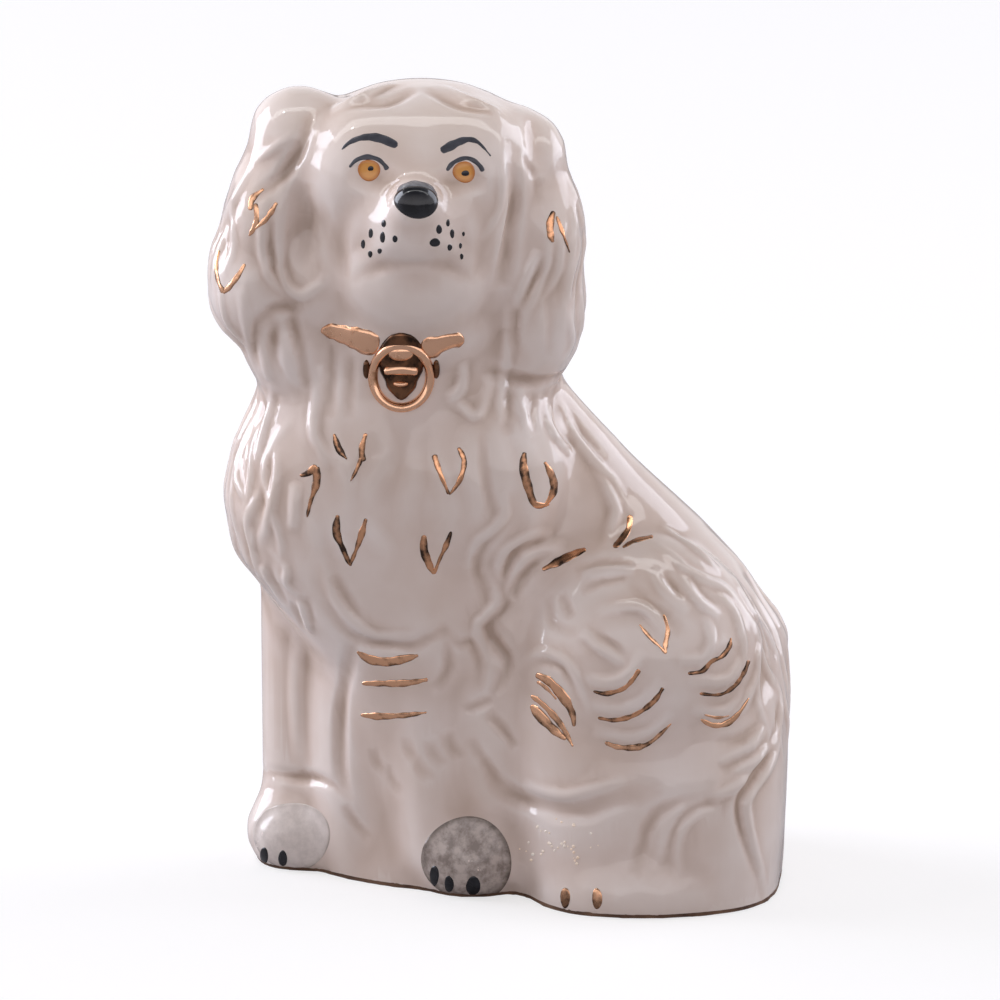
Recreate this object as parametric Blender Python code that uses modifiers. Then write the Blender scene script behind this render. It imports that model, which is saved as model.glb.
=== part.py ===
"""Seated spaniel mantel figurine in glazed earthenware, with gilt and enamel decoration.

Metres, +Z up, the front of the ornament towards -Y, origin at the bottom centre of the whole object.
The casting is blended from clay lumps given in millimetres on a pattern sheet, which the three overall
sizes stretch. The decoration is laid on the casting by casting rays at it, as a brush would reach it.
"""

import math

import bmesh
import bpy
from mathutils import Matrix, Vector
from mathutils.bvhtree import BVHTree

# Overall sizes of the casting, and the size of the pattern sheet that the lumps below are drawn on.
WIDTH = 0.098
DEPTH = 0.063
HEIGHT = 0.140
PATTERN = (98.0, 63.0, 140.0)
MM = 0.001

# Casting: its wall, its drain hole, and how finely the blended clay is meshed and then thinned.
WALL = 0.0035
DRAIN_HOLE_RADIUS = 0.0055
DRAIN_HOLE_PLACE = (12.0, 0.0, 0.0)
CLAY_GRAIN = 0.0018
CORE_GRAIN = 0.003
BLEND_PASSES = 8
CASTING_SHARE = 0.12
CORE_SHARE = 0.12

# Decoration
GAP = 0.0003
ENAMEL = 0.0004
GILT = 0.0004
CHAIN_WIDTH = 0.0032
CHAIN_RELIEF = 0.0009
LOCKET_HALF_WIDTH = 0.0054
LOCKET_HALF_HEIGHT = 0.0064
LOCKET_RING_WIDTH = 0.0013
LOCKET_RELIEF = 0.0012
BRUSH_WIDTH = 0.0014
BROAD_BRUSH_WIDTH = 0.0024
LEG_BRUSH_WIDTH = 0.0016
BROW_WIDTH = 0.0017
LID_WIDTH = 0.0008
IRIS_RADIUS = 0.0018
PUPIL_RADIUS = 0.0007
NOSE_HALF_WIDTH = 0.0035
NOSE_HALF_HEIGHT = 0.0027
CLAW_HALF_WIDTH = 0.0008
CLAW_HALF_HEIGHT = 0.0016
WASH_RADIUS = 0.007

# The decorator looks at the front of the ornament from a little above.
BRUSH_TILT = math.radians(15)
BRUSH_DIRECTION = Vector((0, math.cos(BRUSH_TILT), -math.sin(BRUSH_TILT)))
BRUSH_UP = Vector((0, math.sin(BRUSH_TILT), math.cos(BRUSH_TILT)))
REACH = 0.3

# Rings of a column: height, left, right, near, far, squareness.
CHEST_RINGS = [
    (-6, -27, 12, -12, 17, 2.4),
    (12, -27, 12, -13, 18, 2.4),
    (26, -28, 12, -15, 19, 2.4),
    (38, -31, 12, -17, 20, 2.3),
    (47, -38, 12, -19, 21, 2.2),
    (56, -45, 12, -20, 22, 2.1),
    (66, -47.5, 12, -21, 22, 2.1),
    (76, -45, 11, -21, 21, 2.1),
    (86, -41, 9, -20, 19, 2.1),
    (96, -38, 8, -19, 17, 2.1),
    (104, -36, 8, -18, 14, 2.1),
    (116, -32, 6, -17, 10, 2.1),
]
RUMP_RINGS = [
    (-6, 4, 47, -29, 26, 3.0),
    (10, 2, 48.5, -29, 28, 3.0),
    (22, 0, 49, -29, 28, 2.8),
    (34, -2, 49, -27, 27, 2.6),
    (44, -5, 46.5, -23, 23, 2.4),
    (53, -8, 41.5, -19, 19, 2.3),
    (61, -12, 34.5, -15, 18, 2.2),
    (71, -16, 24, -12, 15, 2.1),
    (80, -20, 16, -10, 12, 2.0),
    (86, -22, 11, -8, 10, 2.0),
]

# Balls of clay: centre, half sizes, turn about the front-to-back axis in degrees.
BALLS = [
    ((23.5, -13.5, 42), (21, 17, 21), 0),  # near haunch
    ((22.5, 11, 38), (20, 17, 19), 0),  # far haunch
    ((1, -7, 28), (15, 12, 36), 0),  # near flank
    ((24, -20, 3), (18, 11, 10), 0),  # near hind foot
    ((24, 18, 3), (18, 11, 10), 0),  # far hind foot
    ((-5, -11, 6), (9.5, 9, 9), 0),  # near forepaw
    ((-33.8, 6.5, 5.5), (10, 9.5, 9), 0),  # far forepaw
    ((-22, 2, 26), (11, 12, 40), 0),  # web between the forelegs
    ((-8, -9, 72), (20, 13, 20), 0),  # near shoulder
    ((-8, 7, 72), (20, 14, 20), 0),  # far shoulder
    ((-6, 2, 90), (16, 17, 20), 0),  # nape
    ((-13.2, -9, 120.5), (18.5, 19, 19.7), 0),  # skull
    ((-13.5, -5, 127.5), (20, 16, 12.5), 0),  # hair of the crown
    ((-15, 0, 108), (24, 14, 22), 0),  # hair down the back of the head
    ((-29, -8, 109), (10, 11, 14), 0),  # left cheek
    ((0, -8, 110), (9, 11, 14), 0),  # right cheek
    ((-14.4, -17, 112), (12.5, 12, 12), 0),  # jaw
    ((-14.4, -24, 120), (8.5, 9, 7.5), 0),  # muzzle
    ((-14.4, -30, 125), (4.6, 4, 4), 0),  # nose
    ((-33.5, -6, 130.5), (9.5, 10, 8.6), 25),  # crown of the left ear
    ((-38, -6, 119), (8.6, 11, 15), 16),  # middle of the left ear
    ((-40.5, -5, 106), (9.4, 12, 12.5), 6),  # end of the left ear
    ((-34, -4, 94), (10, 12, 9.5), 0),  # fur under the left ear
    ((2.2, -6, 127), (9.2, 10, 8.8), -20),  # crown of the right ear
    ((5.4, -6, 114), (9, 11, 16), -6),  # middle of the right ear
    ((5.2, -5, 101), (9.2, 12, 15.5), 2),  # end of the right ear
]

# Limbs: two ends and the radius at each.
LIMBS = [
    ((-14, -7, 60), 10, (-9, -9, 8), 8.5),  # near foreleg
    ((-32.5, 8, 52), 8.8, (-32.5, 8, 6), 8.4),  # far foreleg
    ((41, 2, 40), 8, (41.5, -2, 2), 7),  # tail
]

# Centre lines of the brush marks, in millimetres across and up the decorator's view.
GILT_VEES = {
    "gilt_ear_left_upper": [(-41.5, 121), (-40, 116), (-41.4, 112.5), (-39.2, 117.2), (-37.6, 119)],
    "gilt_ear_left_lower": [(-47, 108.5), (-46.6, 104.5), (-45.4, 102.6), (-43.6, 105), (-42.2, 107.5)],
    "gilt_ear_right": [(8.3, 111.8), (8.2, 114), (9.2, 116), (10.2, 114), (10.8, 111.6)],
    "gilt_chest_left": [(-27.6, 78), (-26.6, 75), (-24.6, 71.6), (-23, 75), (-22.5, 78)],
    "gilt_chest_middle": [(-12, 76), (-10.6, 72), (-9, 68.8), (-7, 72), (-6.5, 75.8)],
    "gilt_shoulder": [(3.6, 75.6), (4.2, 71), (6, 66.4), (8.2, 69.5), (8.6, 73.6)],
    "gilt_breast_left": [(-28, 64), (-27, 60), (-25.6, 56.6), (-23.8, 60), (-22.8, 63.6)],
    "gilt_breast_middle": [(-13, 61.6), (-12.2, 58), (-11, 55), (-9.2, 58), (-8.2, 61.8)],
    "gilt_haunch_middle": [(23.4, 47.2), (25.2, 44.8), (27.4, 42.4), (28, 44.8), (27.4, 47.4)],
}
GILT_DASHES = {
    "gilt_chest_edge": [(-31.2, 73), (-31.6, 69.6), (-32.2, 66.2)],
    "gilt_haunch_dash": [(7.4, 56), (10.6, 57.4), (14.2, 59.2)],
    "gilt_haunch_top": [(22.4, 64.6), (21.8, 62.2), (20, 60)],
    "gilt_arc_front_top": [(16.2, 35.8), (20, 36.6), (23.6, 39.2)],
    "gilt_arc_front_middle": [(17.2, 31), (22.4, 31.4), (27, 35.8)],
    "gilt_arc_front_low": [(18.6, 27), (24, 26.2), (28.6, 29.4)],
    "gilt_arc_back_top": [(32, 38.8), (36, 40.6), (38.6, 44)],
    "gilt_arc_back_middle": [(34, 35), (38.6, 36.2), (42, 40.2)],
    "gilt_arc_back_low": [(34.4, 30.8), (38.4, 30.4), (41.8, 33.2)],
}
BROAD_STROKES = {
    "gilt_stifle_upper": [(5.6, 37), (9.4, 34.6), (12, 29.4)],
    "gilt_stifle_lower": [(4.9, 33.4), (8, 30), (11.8, 25.8)],
}
LEG_STROKES = {
    "gilt_leg_top": [(-24.4, 41.2), (-19, 40.4), (-13.8, 41.2)],
    "gilt_leg_middle": [(-23.8, 37), (-18.4, 36.8), (-12.8, 37.2)],
    "gilt_leg_low": [(-23.6, 31.2), (-18.6, 31), (-13.2, 31.4)],
}
CHAIN_RUNS = {
    "neck_chain_left": [(-30.2, 98), (-27, 97.2), (-23.6, 95.6)],
    "neck_chain_right": [(-11.4, 95.6), (-9, 96.2), (-6.6, 96.2)],
}
BROWS = {
    "brow_left": [(-26, 127), (-22.6, 129.4), (-18.2, 128.2)],
    "brow_right": [(-10.4, 127.6), (-6, 129.8), (-1.6, 127)],
}
LIDS = {
    "lid_left": [(-24.8, 124.2), (-21.8, 126.3), (-18.8, 124.2)],
    "lid_right": [(-9, 124), (-5.8, 126.2), (-2.8, 124)],
}
EYES = {"left": (-21.8, 123.2), "right": (-5.8, 123)}
NOSE_PLACE = (-14.4, 118)
LOCKET_PLACE = (-17.4, 89.8)
WASHES = {"paw_wash_near": (-6, 8.6), "paw_wash_far": (-33.6, 12.6)}
BLACK_CLAWS = {
    "claw_far_outer": (-39.6, 8.4),
    "claw_far_inner": (-36.2, 7.8),
    "claw_near_outer": (-10.6, 4.4),
    "claw_near_middle": (-7.6, 3.4),
    "claw_near_inner": (-4, 2.8),
}
GILT_CLAWS = {"claw_hind_outer": (10.8, 1.6), "claw_hind_inner": (16.2, 1.4)}

# Turns a height in the decorator's view, counted from the near forepaw, into one from the body's middle.
NEAR_PAW_DROP = 4.7


def clear_scene():
    for old in list(bpy.data.objects):
        bpy.data.objects.remove(old, do_unlink=True)


def collection(name):
    made = bpy.data.collections.new(name)
    bpy.context.scene.collection.children.link(made)
    return made


def finish(name, colour, roughness, metallic=0.0):
    made = bpy.data.materials.new(name)
    made.use_nodes = True
    shader = made.node_tree.nodes["Principled BSDF"]
    shader.inputs["Base Color"].default_value = (*colour, 1.0)
    shader.inputs["Roughness"].default_value = roughness
    shader.inputs["Metallic"].default_value = metallic
    return made


def stretch():
    """From the pattern sheet's millimetres to metres at the overall sizes."""
    return Matrix.Diagonal((WIDTH / PATTERN[0], DEPTH / PATTERN[1], HEIGHT / PATTERN[2], 1.0))


def add_ball(clay, centre, half_sizes, turn, inset):
    sizes = [max(half - inset, 0.5) for half in half_sizes]
    place = Matrix.Translation(centre) @ Matrix.Rotation(math.radians(turn), 4, "Y")
    shape = stretch() @ place @ Matrix.Diagonal((*sizes, 1.0))
    bmesh.ops.create_uvsphere(clay, u_segments=28, v_segments=16, radius=1.0, matrix=shape)


def add_limb(clay, top, top_radius, foot, foot_radius, inset):
    """A run of balls close enough to read as one tapering limb."""
    steps = 7
    for step in range(steps + 1):
        share = step / steps
        centre = Vector(top).lerp(Vector(foot), share)
        radius = top_radius + (foot_radius - top_radius) * share
        add_ball(clay, centre, (radius, radius, radius), 0, inset)


def add_column(clay, rings, inset):
    """A closed loft through flattened rings, for the trunk."""
    around = 40
    loops = []
    for height, left, right, near, far, squareness in rings:
        middle = ((left + right) / 2, (near + far) / 2)
        halves = ((right - left) / 2 - inset, (far - near) / 2 - inset)
        loop = []
        for step in range(around):
            angle = 2 * math.pi * step / around
            across, along = math.cos(angle), math.sin(angle)
            x = middle[0] + halves[0] * math.copysign(abs(across) ** (2 / squareness), across)
            y = middle[1] + halves[1] * math.copysign(abs(along) ** (2 / squareness), along)
            loop.append(clay.verts.new(stretch() @ Vector((x, y, height))))
        loops.append(loop)
    for below, above in zip(loops, loops[1:]):
        for step in range(around):
            after = (step + 1) % around
            clay.faces.new((below[step], below[after], above[after], above[step]))
    clay.faces.new(reversed(loops[0]))
    clay.faces.new(loops[-1])


def clay_model(name, inset, grain, keep):
    """All the lumps blended into one skin, set in by inset millimetres all over."""
    clay = bmesh.new()
    add_column(clay, CHEST_RINGS, inset)
    add_column(clay, RUMP_RINGS, inset)
    for centre, half_sizes, turn in BALLS:
        if min(half_sizes) > inset:
            add_ball(clay, centre, half_sizes, turn, inset)
    for top, top_radius, foot, foot_radius in LIMBS:
        add_limb(clay, top, top_radius, foot, foot_radius, inset)
    mesh = bpy.data.meshes.new(name)
    clay.to_mesh(mesh)
    clay.free()
    model = bpy.data.objects.new(name, mesh)
    bpy.context.scene.collection.objects.link(model)
    blend = model.modifiers.new("blend", "REMESH")
    blend.mode = "VOXEL"
    blend.voxel_size = grain
    soften = model.modifiers.new("soften", "SMOOTH")
    soften.factor = 0.5
    soften.iterations = BLEND_PASSES
    thin = model.modifiers.new("thin", "DECIMATE")
    thin.ratio = keep
    return baked(model)


def baked(model):
    """The object with its modifiers made into plain mesh."""
    graph = bpy.context.evaluated_depsgraph_get()
    mesh = bpy.data.meshes.new_from_object(model.evaluated_get(graph))
    model.modifiers.clear()
    model.data = mesh
    return model


def cut_flat(model, height):
    """Everything below the height is cut off and the cut is closed."""
    shape = bmesh.new()
    shape.from_mesh(model.data)
    everything = shape.verts[:] + shape.edges[:] + shape.faces[:]
    cut = bmesh.ops.bisect_plane(
        shape, geom=everything, plane_co=(0, 0, height), plane_no=(0, 0, 1), clear_inner=True
    )
    edges = [part for part in cut["geom_cut"] if isinstance(part, bmesh.types.BMEdge)]
    bmesh.ops.triangle_fill(shape, edges=edges, use_beauty=True)
    bmesh.ops.recalc_face_normals(shape, faces=shape.faces[:])
    shape.to_mesh(model.data)
    shape.free()


def add_cutter(cutter, cutters):
    for home in list(cutter.users_collection):
        home.objects.unlink(cutter)
    cutters.objects.link(cutter)
    cutter.hide_render = True
    cutter.display_type = "WIRE"


def drain_hole_cutter():
    """A plain drill through the base, opening the hollow to the outside."""
    shape = bmesh.new()
    depth = 6 * WALL
    bmesh.ops.create_cone(
        shape, cap_ends=True, segments=32, radius1=DRAIN_HOLE_RADIUS, radius2=DRAIN_HOLE_RADIUS,
        depth=depth, matrix=Matrix.Translation(stretch() @ Vector(DRAIN_HOLE_PLACE)),
    )
    mesh = bpy.data.meshes.new("drain_hole")
    shape.to_mesh(mesh)
    shape.free()
    return bpy.data.objects.new("drain_hole", mesh)


def make_casting(parts, cutters, glaze):
    casting = clay_model("body_shell", 0, CLAY_GRAIN, CASTING_SHARE)
    cut_flat(casting, 0)
    solid = BVHTree.FromObject(casting, bpy.context.evaluated_depsgraph_get())
    casting.data.materials.append(glaze)
    casting.data.shade_smooth()
    bpy.context.scene.collection.objects.unlink(casting)
    parts.objects.link(casting)

    core = clay_model("hollow", WALL / MM, CORE_GRAIN, CORE_SHARE)
    cut_flat(core, WALL)
    drill = drain_hole_cutter()
    bpy.context.scene.collection.objects.link(drill)
    for cutter in (core, drill):
        add_cutter(cutter, cutters)
        cut = casting.modifiers.new(cutter.name, "BOOLEAN")
        cut.operation = "DIFFERENCE"
        cut.object = cutter
    return solid


def brush_spot(skin, across, up):
    """Where a brush held at that place of the decorator's view meets the casting."""
    scale = stretch()
    start = Vector((across * WIDTH / PATTERN[0], 0, 0)) + BRUSH_UP * (up - NEAR_PAW_DROP) * scale[2][2]
    spot = skin.ray_cast(start - BRUSH_DIRECTION * REACH, BRUSH_DIRECTION, 2 * REACH)[0]
    return spot or skin.find_nearest(start)[0]


def smooth_normal(skin, spot):
    """The casting's outward direction near the spot, evened out over the facets within a brush's width."""
    near = skin.find_nearest_range(spot, BRUSH_WIDTH)
    return sum((normal for _, normal, _, _ in near), Vector()).normalized()


def curve_through(points, share):
    """A smooth curve through the points, at a share from 0 to 1 of its way."""
    spans = len(points) - 1
    span = min(int(share * spans), spans - 1)
    t = share * spans - span
    p0 = Vector(points[max(span - 1, 0)])
    p1 = Vector(points[span])
    p2 = Vector(points[span + 1])
    p3 = Vector(points[min(span + 2, spans)])
    bend = 2 * p0 - 5 * p1 + 4 * p2 - p3
    twist = 3 * p1 - p0 - 3 * p2 + p3
    return 0.5 * (2 * p1 + (p2 - p0) * t + bend * t * t + twist * t * t * t)


def laid_on(name, skin, parts, material, outline, columns, rows, thickness, lift=GAP, closed=False):
    """A thin layer on the casting. outline turns (u, w), each from -1 to 1, into a place in the view."""
    layer = bmesh.new()
    bmesh.ops.create_grid(layer, x_segments=columns, y_segments=rows, size=1.0)
    for vert in layer.verts:
        spot = brush_spot(skin, *outline(vert.co.x, vert.co.y))
        vert.co = spot + smooth_normal(skin, spot) * lift
    if closed:
        bmesh.ops.remove_doubles(layer, verts=layer.verts[:], dist=0.00001)
    layer.normal_update()
    if sum(face.normal.dot(BRUSH_DIRECTION) for face in layer.faces) > 0:
        bmesh.ops.reverse_faces(layer, faces=layer.faces[:])
    mesh = bpy.data.meshes.new(name)
    layer.to_mesh(mesh)
    layer.free()
    mesh.materials.append(material)
    piece = bpy.data.objects.new(name, mesh)
    parts.objects.link(piece)
    wall = piece.modifiers.new("thickness", "SOLIDIFY")
    wall.thickness = thickness
    wall.offset = 1.0
    return piece


def stroke_outline(points, width, pulls):
    """A brush mark of one or more pulls, each full in its middle and drawn out to a blunt point."""
    blunt_end = 0.3

    def outline(u, w):
        share = (u + 1) / 2
        here = curve_through(points, share)
        ahead = curve_through(points, min(share + 0.02, 1.0))
        behind = curve_through(points, max(share - 0.02, 0.0))
        side = (ahead - behind).normalized().orthogonal()
        fullness = blunt_end + (1 - blunt_end) * abs(math.sin(math.pi * pulls * share))
        return here + side * (w * fullness * width / MM / 2)

    return outline


def disc_outline(centre, half_width, half_height):
    """An oval: the square of (u, w) pressed into a round."""

    def outline(u, w):
        x = u * math.sqrt(1 - w * w / 2)
        z = w * math.sqrt(1 - u * u / 2)
        return centre[0] + x * half_width / MM, centre[1] + z * half_height / MM

    return outline


def ring_outline(centre, half_width, half_height, band):
    def outline(u, w):
        angle = math.pi * u
        inner = (1 - w) / 2 * band / MM
        x = (half_width / MM - inner) * math.cos(angle)
        z = (half_height / MM - inner) * math.sin(angle)
        return centre[0] + x, centre[1] + z

    return outline


def add_strokes(skin, parts, material, strokes, width, thickness, pulls=1):
    for name, points in strokes.items():
        outline = stroke_outline(points, width, pulls)
        laid_on(name, skin, parts, material, outline, 4 * len(points), 2, thickness)


def add_locket(skin, parts, gold, dark_gold):
    ring = ring_outline(LOCKET_PLACE, LOCKET_HALF_WIDTH, LOCKET_HALF_HEIGHT, LOCKET_RING_WIDTH)
    laid_on("locket_ring", skin, parts, gold, ring, 28, 2, LOCKET_RELIEF, closed=True)
    inside = LOCKET_RING_WIDTH + 2 * GAP
    boss = disc_outline(LOCKET_PLACE, LOCKET_HALF_WIDTH - inside, LOCKET_HALF_HEIGHT - inside)
    laid_on("locket_boss", skin, parts, dark_gold, boss, 6, 6, LOCKET_RELIEF)
    lug_half_width = 0.0005
    lug_half_height = 0.0018
    reach = (LOCKET_HALF_WIDTH + 2 * GAP + lug_half_width) / MM
    for name, side in (("locket_lug_left", -1), ("locket_lug_right", 1)):
        place = (LOCKET_PLACE[0] + side * reach, LOCKET_PLACE[1])
        lug = disc_outline(place, lug_half_width, lug_half_height)
        laid_on(name, skin, parts, dark_gold, lug, 3, 5, LOCKET_RELIEF)


def add_face(skin, parts, black, orange):
    nose = disc_outline(NOSE_PLACE, NOSE_HALF_WIDTH, NOSE_HALF_HEIGHT)
    laid_on("nose", skin, parts, black, nose, 8, 8, ENAMEL)
    add_strokes(skin, parts, black, BROWS, BROW_WIDTH, ENAMEL)
    add_strokes(skin, parts, black, LIDS, LID_WIDTH, ENAMEL)
    over_iris = 2 * GAP + ENAMEL
    for side, place in EYES.items():
        iris = disc_outline(place, IRIS_RADIUS, IRIS_RADIUS)
        laid_on("iris_" + side, skin, parts, orange, iris, 5, 5, ENAMEL)
        pupil = disc_outline(place, PUPIL_RADIUS, PUPIL_RADIUS)
        laid_on("pupil_" + side, skin, parts, black, pupil, 3, 3, ENAMEL, lift=over_iris)


def add_paws(skin, parts, black, grey, gold):
    for name, place in WASHES.items():
        wash = disc_outline(place, WASH_RADIUS, WASH_RADIUS)
        laid_on(name, skin, parts, grey, wash, 9, 9, ENAMEL)
    over_wash = 2 * GAP + ENAMEL
    for claws, material in ((BLACK_CLAWS, black), (GILT_CLAWS, gold)):
        for name, place in claws.items():
            claw = disc_outline(place, CLAW_HALF_WIDTH, CLAW_HALF_HEIGHT)
            laid_on(name, skin, parts, material, claw, 3, 5, ENAMEL, lift=over_wash)


def stand_on_origin(parts, cutters):
    """Moves everything so that the origin is at the bottom centre of the whole object."""
    bpy.context.view_layer.update()
    graph = bpy.context.evaluated_depsgraph_get()
    corners = []
    for part in parts.objects:
        shown = part.evaluated_get(graph)
        corners += [part.matrix_world @ Vector(corner) for corner in shown.bound_box]
    low = [min(corner[axis] for corner in corners) for axis in range(3)]
    high = [max(corner[axis] for corner in corners) for axis in range(3)]
    move = Vector((-(low[0] + high[0]) / 2, -(low[1] + high[1]) / 2, -low[2]))
    for part in list(parts.objects) + list(cutters.objects):
        part.location += move


def main():
    clear_scene()
    parts = collection("dog_figurine")
    cutters = collection("cutters")
    glaze = finish("glazed_earthenware", (0.78, 0.74, 0.70), 0.12)
    gold = finish("burnished_gold", (0.80, 0.42, 0.24), 0.18, 1.0)
    dark_gold = finish("shaded_gold", (0.20, 0.11, 0.06), 0.25, 1.0)
    black = finish("black_enamel", (0.02, 0.02, 0.025), 0.15)
    orange = finish("orange_enamel", (0.70, 0.30, 0.07), 0.25)
    grey = finish("grey_wash", (0.24, 0.20, 0.18), 0.3)
    skin = make_casting(parts, cutters, glaze)
    add_face(skin, parts, black, orange)
    add_paws(skin, parts, black, grey, gold)
    add_locket(skin, parts, gold, dark_gold)
    add_strokes(skin, parts, gold, CHAIN_RUNS, CHAIN_WIDTH, CHAIN_RELIEF)
    add_strokes(skin, parts, gold, GILT_VEES, BRUSH_WIDTH, GILT, pulls=2)
    add_strokes(skin, parts, gold, GILT_DASHES, BRUSH_WIDTH, GILT)
    add_strokes(skin, parts, gold, BROAD_STROKES, BROAD_BRUSH_WIDTH, GILT)
    add_strokes(skin, parts, gold, LEG_STROKES, LEG_BRUSH_WIDTH, GILT)
    stand_on_origin(parts, cutters)


main()
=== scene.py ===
"""Seated spaniel mantel figurine: the finished glazed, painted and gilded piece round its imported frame.

The clay is built up from lumps, blended, and then dressed with modelling tools: a gouge cuts the partings
of the fur and a ball tool raises the locks. Enamel and gilding are thin layers laid on the glazed clay.
Lengths in the lists are millimetres on the maker's pattern sheet.
"""

import math

import bmesh
import bpy
import numpy as np
from mathutils import Matrix, Vector
from mathutils.bvhtree import BVHTree

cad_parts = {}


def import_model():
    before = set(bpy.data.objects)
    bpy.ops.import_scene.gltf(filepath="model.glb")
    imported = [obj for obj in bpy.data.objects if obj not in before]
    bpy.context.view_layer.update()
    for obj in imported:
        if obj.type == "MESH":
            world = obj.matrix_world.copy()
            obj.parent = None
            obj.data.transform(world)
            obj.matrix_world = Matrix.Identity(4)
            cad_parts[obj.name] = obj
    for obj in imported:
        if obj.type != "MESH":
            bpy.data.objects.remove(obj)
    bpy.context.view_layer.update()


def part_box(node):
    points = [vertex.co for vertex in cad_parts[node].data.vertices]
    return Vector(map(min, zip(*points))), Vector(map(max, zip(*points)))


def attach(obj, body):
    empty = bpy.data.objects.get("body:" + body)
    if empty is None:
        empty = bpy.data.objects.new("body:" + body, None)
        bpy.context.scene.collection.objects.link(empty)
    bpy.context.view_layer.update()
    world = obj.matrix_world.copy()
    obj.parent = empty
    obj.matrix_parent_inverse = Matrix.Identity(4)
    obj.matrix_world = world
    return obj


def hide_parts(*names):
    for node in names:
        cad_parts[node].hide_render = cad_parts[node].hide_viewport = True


MM = 0.001

# The decorator looks at the piece from a little above. REACH, in metres, is more than the piece's size.
TILT = math.radians(15)
FRONT_DROP = 4.7
REACH = 0.3
RISE, FALL = math.sin(TILT), math.cos(TILT)

# Ways a maker looks at the piece: the axis across, the axis up, the direction looked in, and the drop
# from the height on the sheet to the height on the middle of the piece.
LOOKS = {
    "front": ((1, 0, 0), (0, RISE, FALL), (0, FALL, -RISE), FRONT_DROP),
    "behind": ((1, 0, 0), (0, -RISE, FALL), (0, -FALL, -RISE), FRONT_DROP),
    "breast": ((0, 1, 0), (0, 0, 1), (1, 0, 0), 0.0),
    "rump": ((0, 1, 0), (0, 0, 1), (-1, 0, 0), 0.0),
}

# Rings of a column: height, left, right, near, far, squareness.
CHEST_RINGS = [
    (-6, -27, 12, -12, 17, 2.4),
    (12, -27, 12, -13, 18, 2.4),
    (26, -28, 12, -15, 19, 2.4),
    (38, -31, 12, -17, 20, 2.3),
    (47, -38, 12, -19, 21, 2.2),
    (56, -45, 12, -20, 22, 2.1),
    (66, -47.5, 12, -21, 22, 2.1),
    (76, -45, 11, -21, 21, 2.1),
    (86, -41, 9, -20, 19, 2.1),
    (96, -38, 8, -19, 17, 2.1),
    (104, -36, 8, -18, 14, 2.1),
    (116, -32, 6, -17, 10, 2.1),
]
RUMP_RINGS = [
    (-6, 4, 47, -29, 26, 3.0),
    (10, 2, 48.5, -29, 28, 3.0),
    (22, 0, 49, -29, 28, 2.8),
    (34, -2, 49, -27, 27, 2.6),
    (44, -5, 46.5, -23, 23, 2.4),
    (53, -8, 41.5, -19, 19, 2.3),
    (61, -12, 34.5, -15, 18, 2.2),
    (71, -16, 24, -12, 15, 2.1),
    (80, -20, 16, -10, 12, 2.0),
    (86, -22, 11, -8, 10, 2.0),
]

# Balls of clay: centre, half sizes, turn about the front-to-back axis in degrees.
BALLS = [
    ((23.5, -13.5, 42), (21, 17, 21), 0),  # near haunch
    ((22.5, 11, 38), (20, 17, 19), 0),  # far haunch
    ((1, -7, 28), (15, 12, 36), 0),  # near flank
    ((24, -20, 3), (18, 11, 10), 0),  # near hind foot
    ((24, 18, 3), (18, 11, 10), 0),  # far hind foot
    ((-5, -11, 6), (9.5, 9, 9), 0),  # near forepaw
    ((-33.8, 6.5, 5.5), (10, 9.5, 9), 0),  # far forepaw
    ((-22, 2, 26), (11, 12, 40), 0),  # web between the forelegs
    ((-8, -9, 72), (20, 13, 20), 0),  # near shoulder
    ((-8, 7, 72), (20, 14, 20), 0),  # far shoulder
    ((-6, 2, 90), (16, 17, 20), 0),  # nape
    ((-13.2, -9, 120.5), (18.5, 19, 19.7), 0),  # skull
    ((-13.5, -5, 127.5), (20, 16, 12.5), 0),  # hair of the crown
    ((-15, 0, 108), (24, 14, 22), 0),  # hair down the back of the head
    ((-29, -8, 109), (10, 11, 14), 0),  # left cheek
    ((0, -8, 110), (9, 11, 14), 0),  # right cheek
    ((-14.4, -17.5, 110), (13, 11, 11.5), 0),  # jaw
    ((-14.6, -12, 101), (15, 11.5, 11), 0),  # throat
    ((-14.4, -23, 119.6), (8.5, 9, 8), 0),  # muzzle
    ((-14.4, -30, 125), (4.6, 4, 4), 0),  # nose
    ((-33.5, -6, 130.5), (9.5, 10, 8.6), 25),  # crown of the left ear
    ((-38, -6, 119), (8.6, 11, 15), 16),  # middle of the left ear
    ((-40.5, -5, 106), (9.4, 12, 12.5), 6),  # end of the left ear
    ((-34, -4, 94), (10, 12, 9.5), 0),  # fur under the left ear
    ((2.2, -6, 127), (9.2, 10, 8.8), -20),  # crown of the right ear
    ((5.4, -6, 114), (9, 11, 16), -6),  # middle of the right ear
    ((5.2, -5, 101), (9.2, 12, 15.5), 2),  # end of the right ear
]

# Limbs: two ends and the radius at each.
LIMBS = [
    ((-14, -7, 60), 10, (-9, -9, 8), 8.5),  # near foreleg
    ((-32.5, 8, 52), 8.8, (-32.5, 8, 6), 8.4),  # far foreleg
    ((41, 2, 40), 8, (41.5, -2, 2), 7),  # tail
    ((-21, -12, 126.5), 12.8, (-7, -12, 126.5), 12.8),  # flat of the forehead
]

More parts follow.
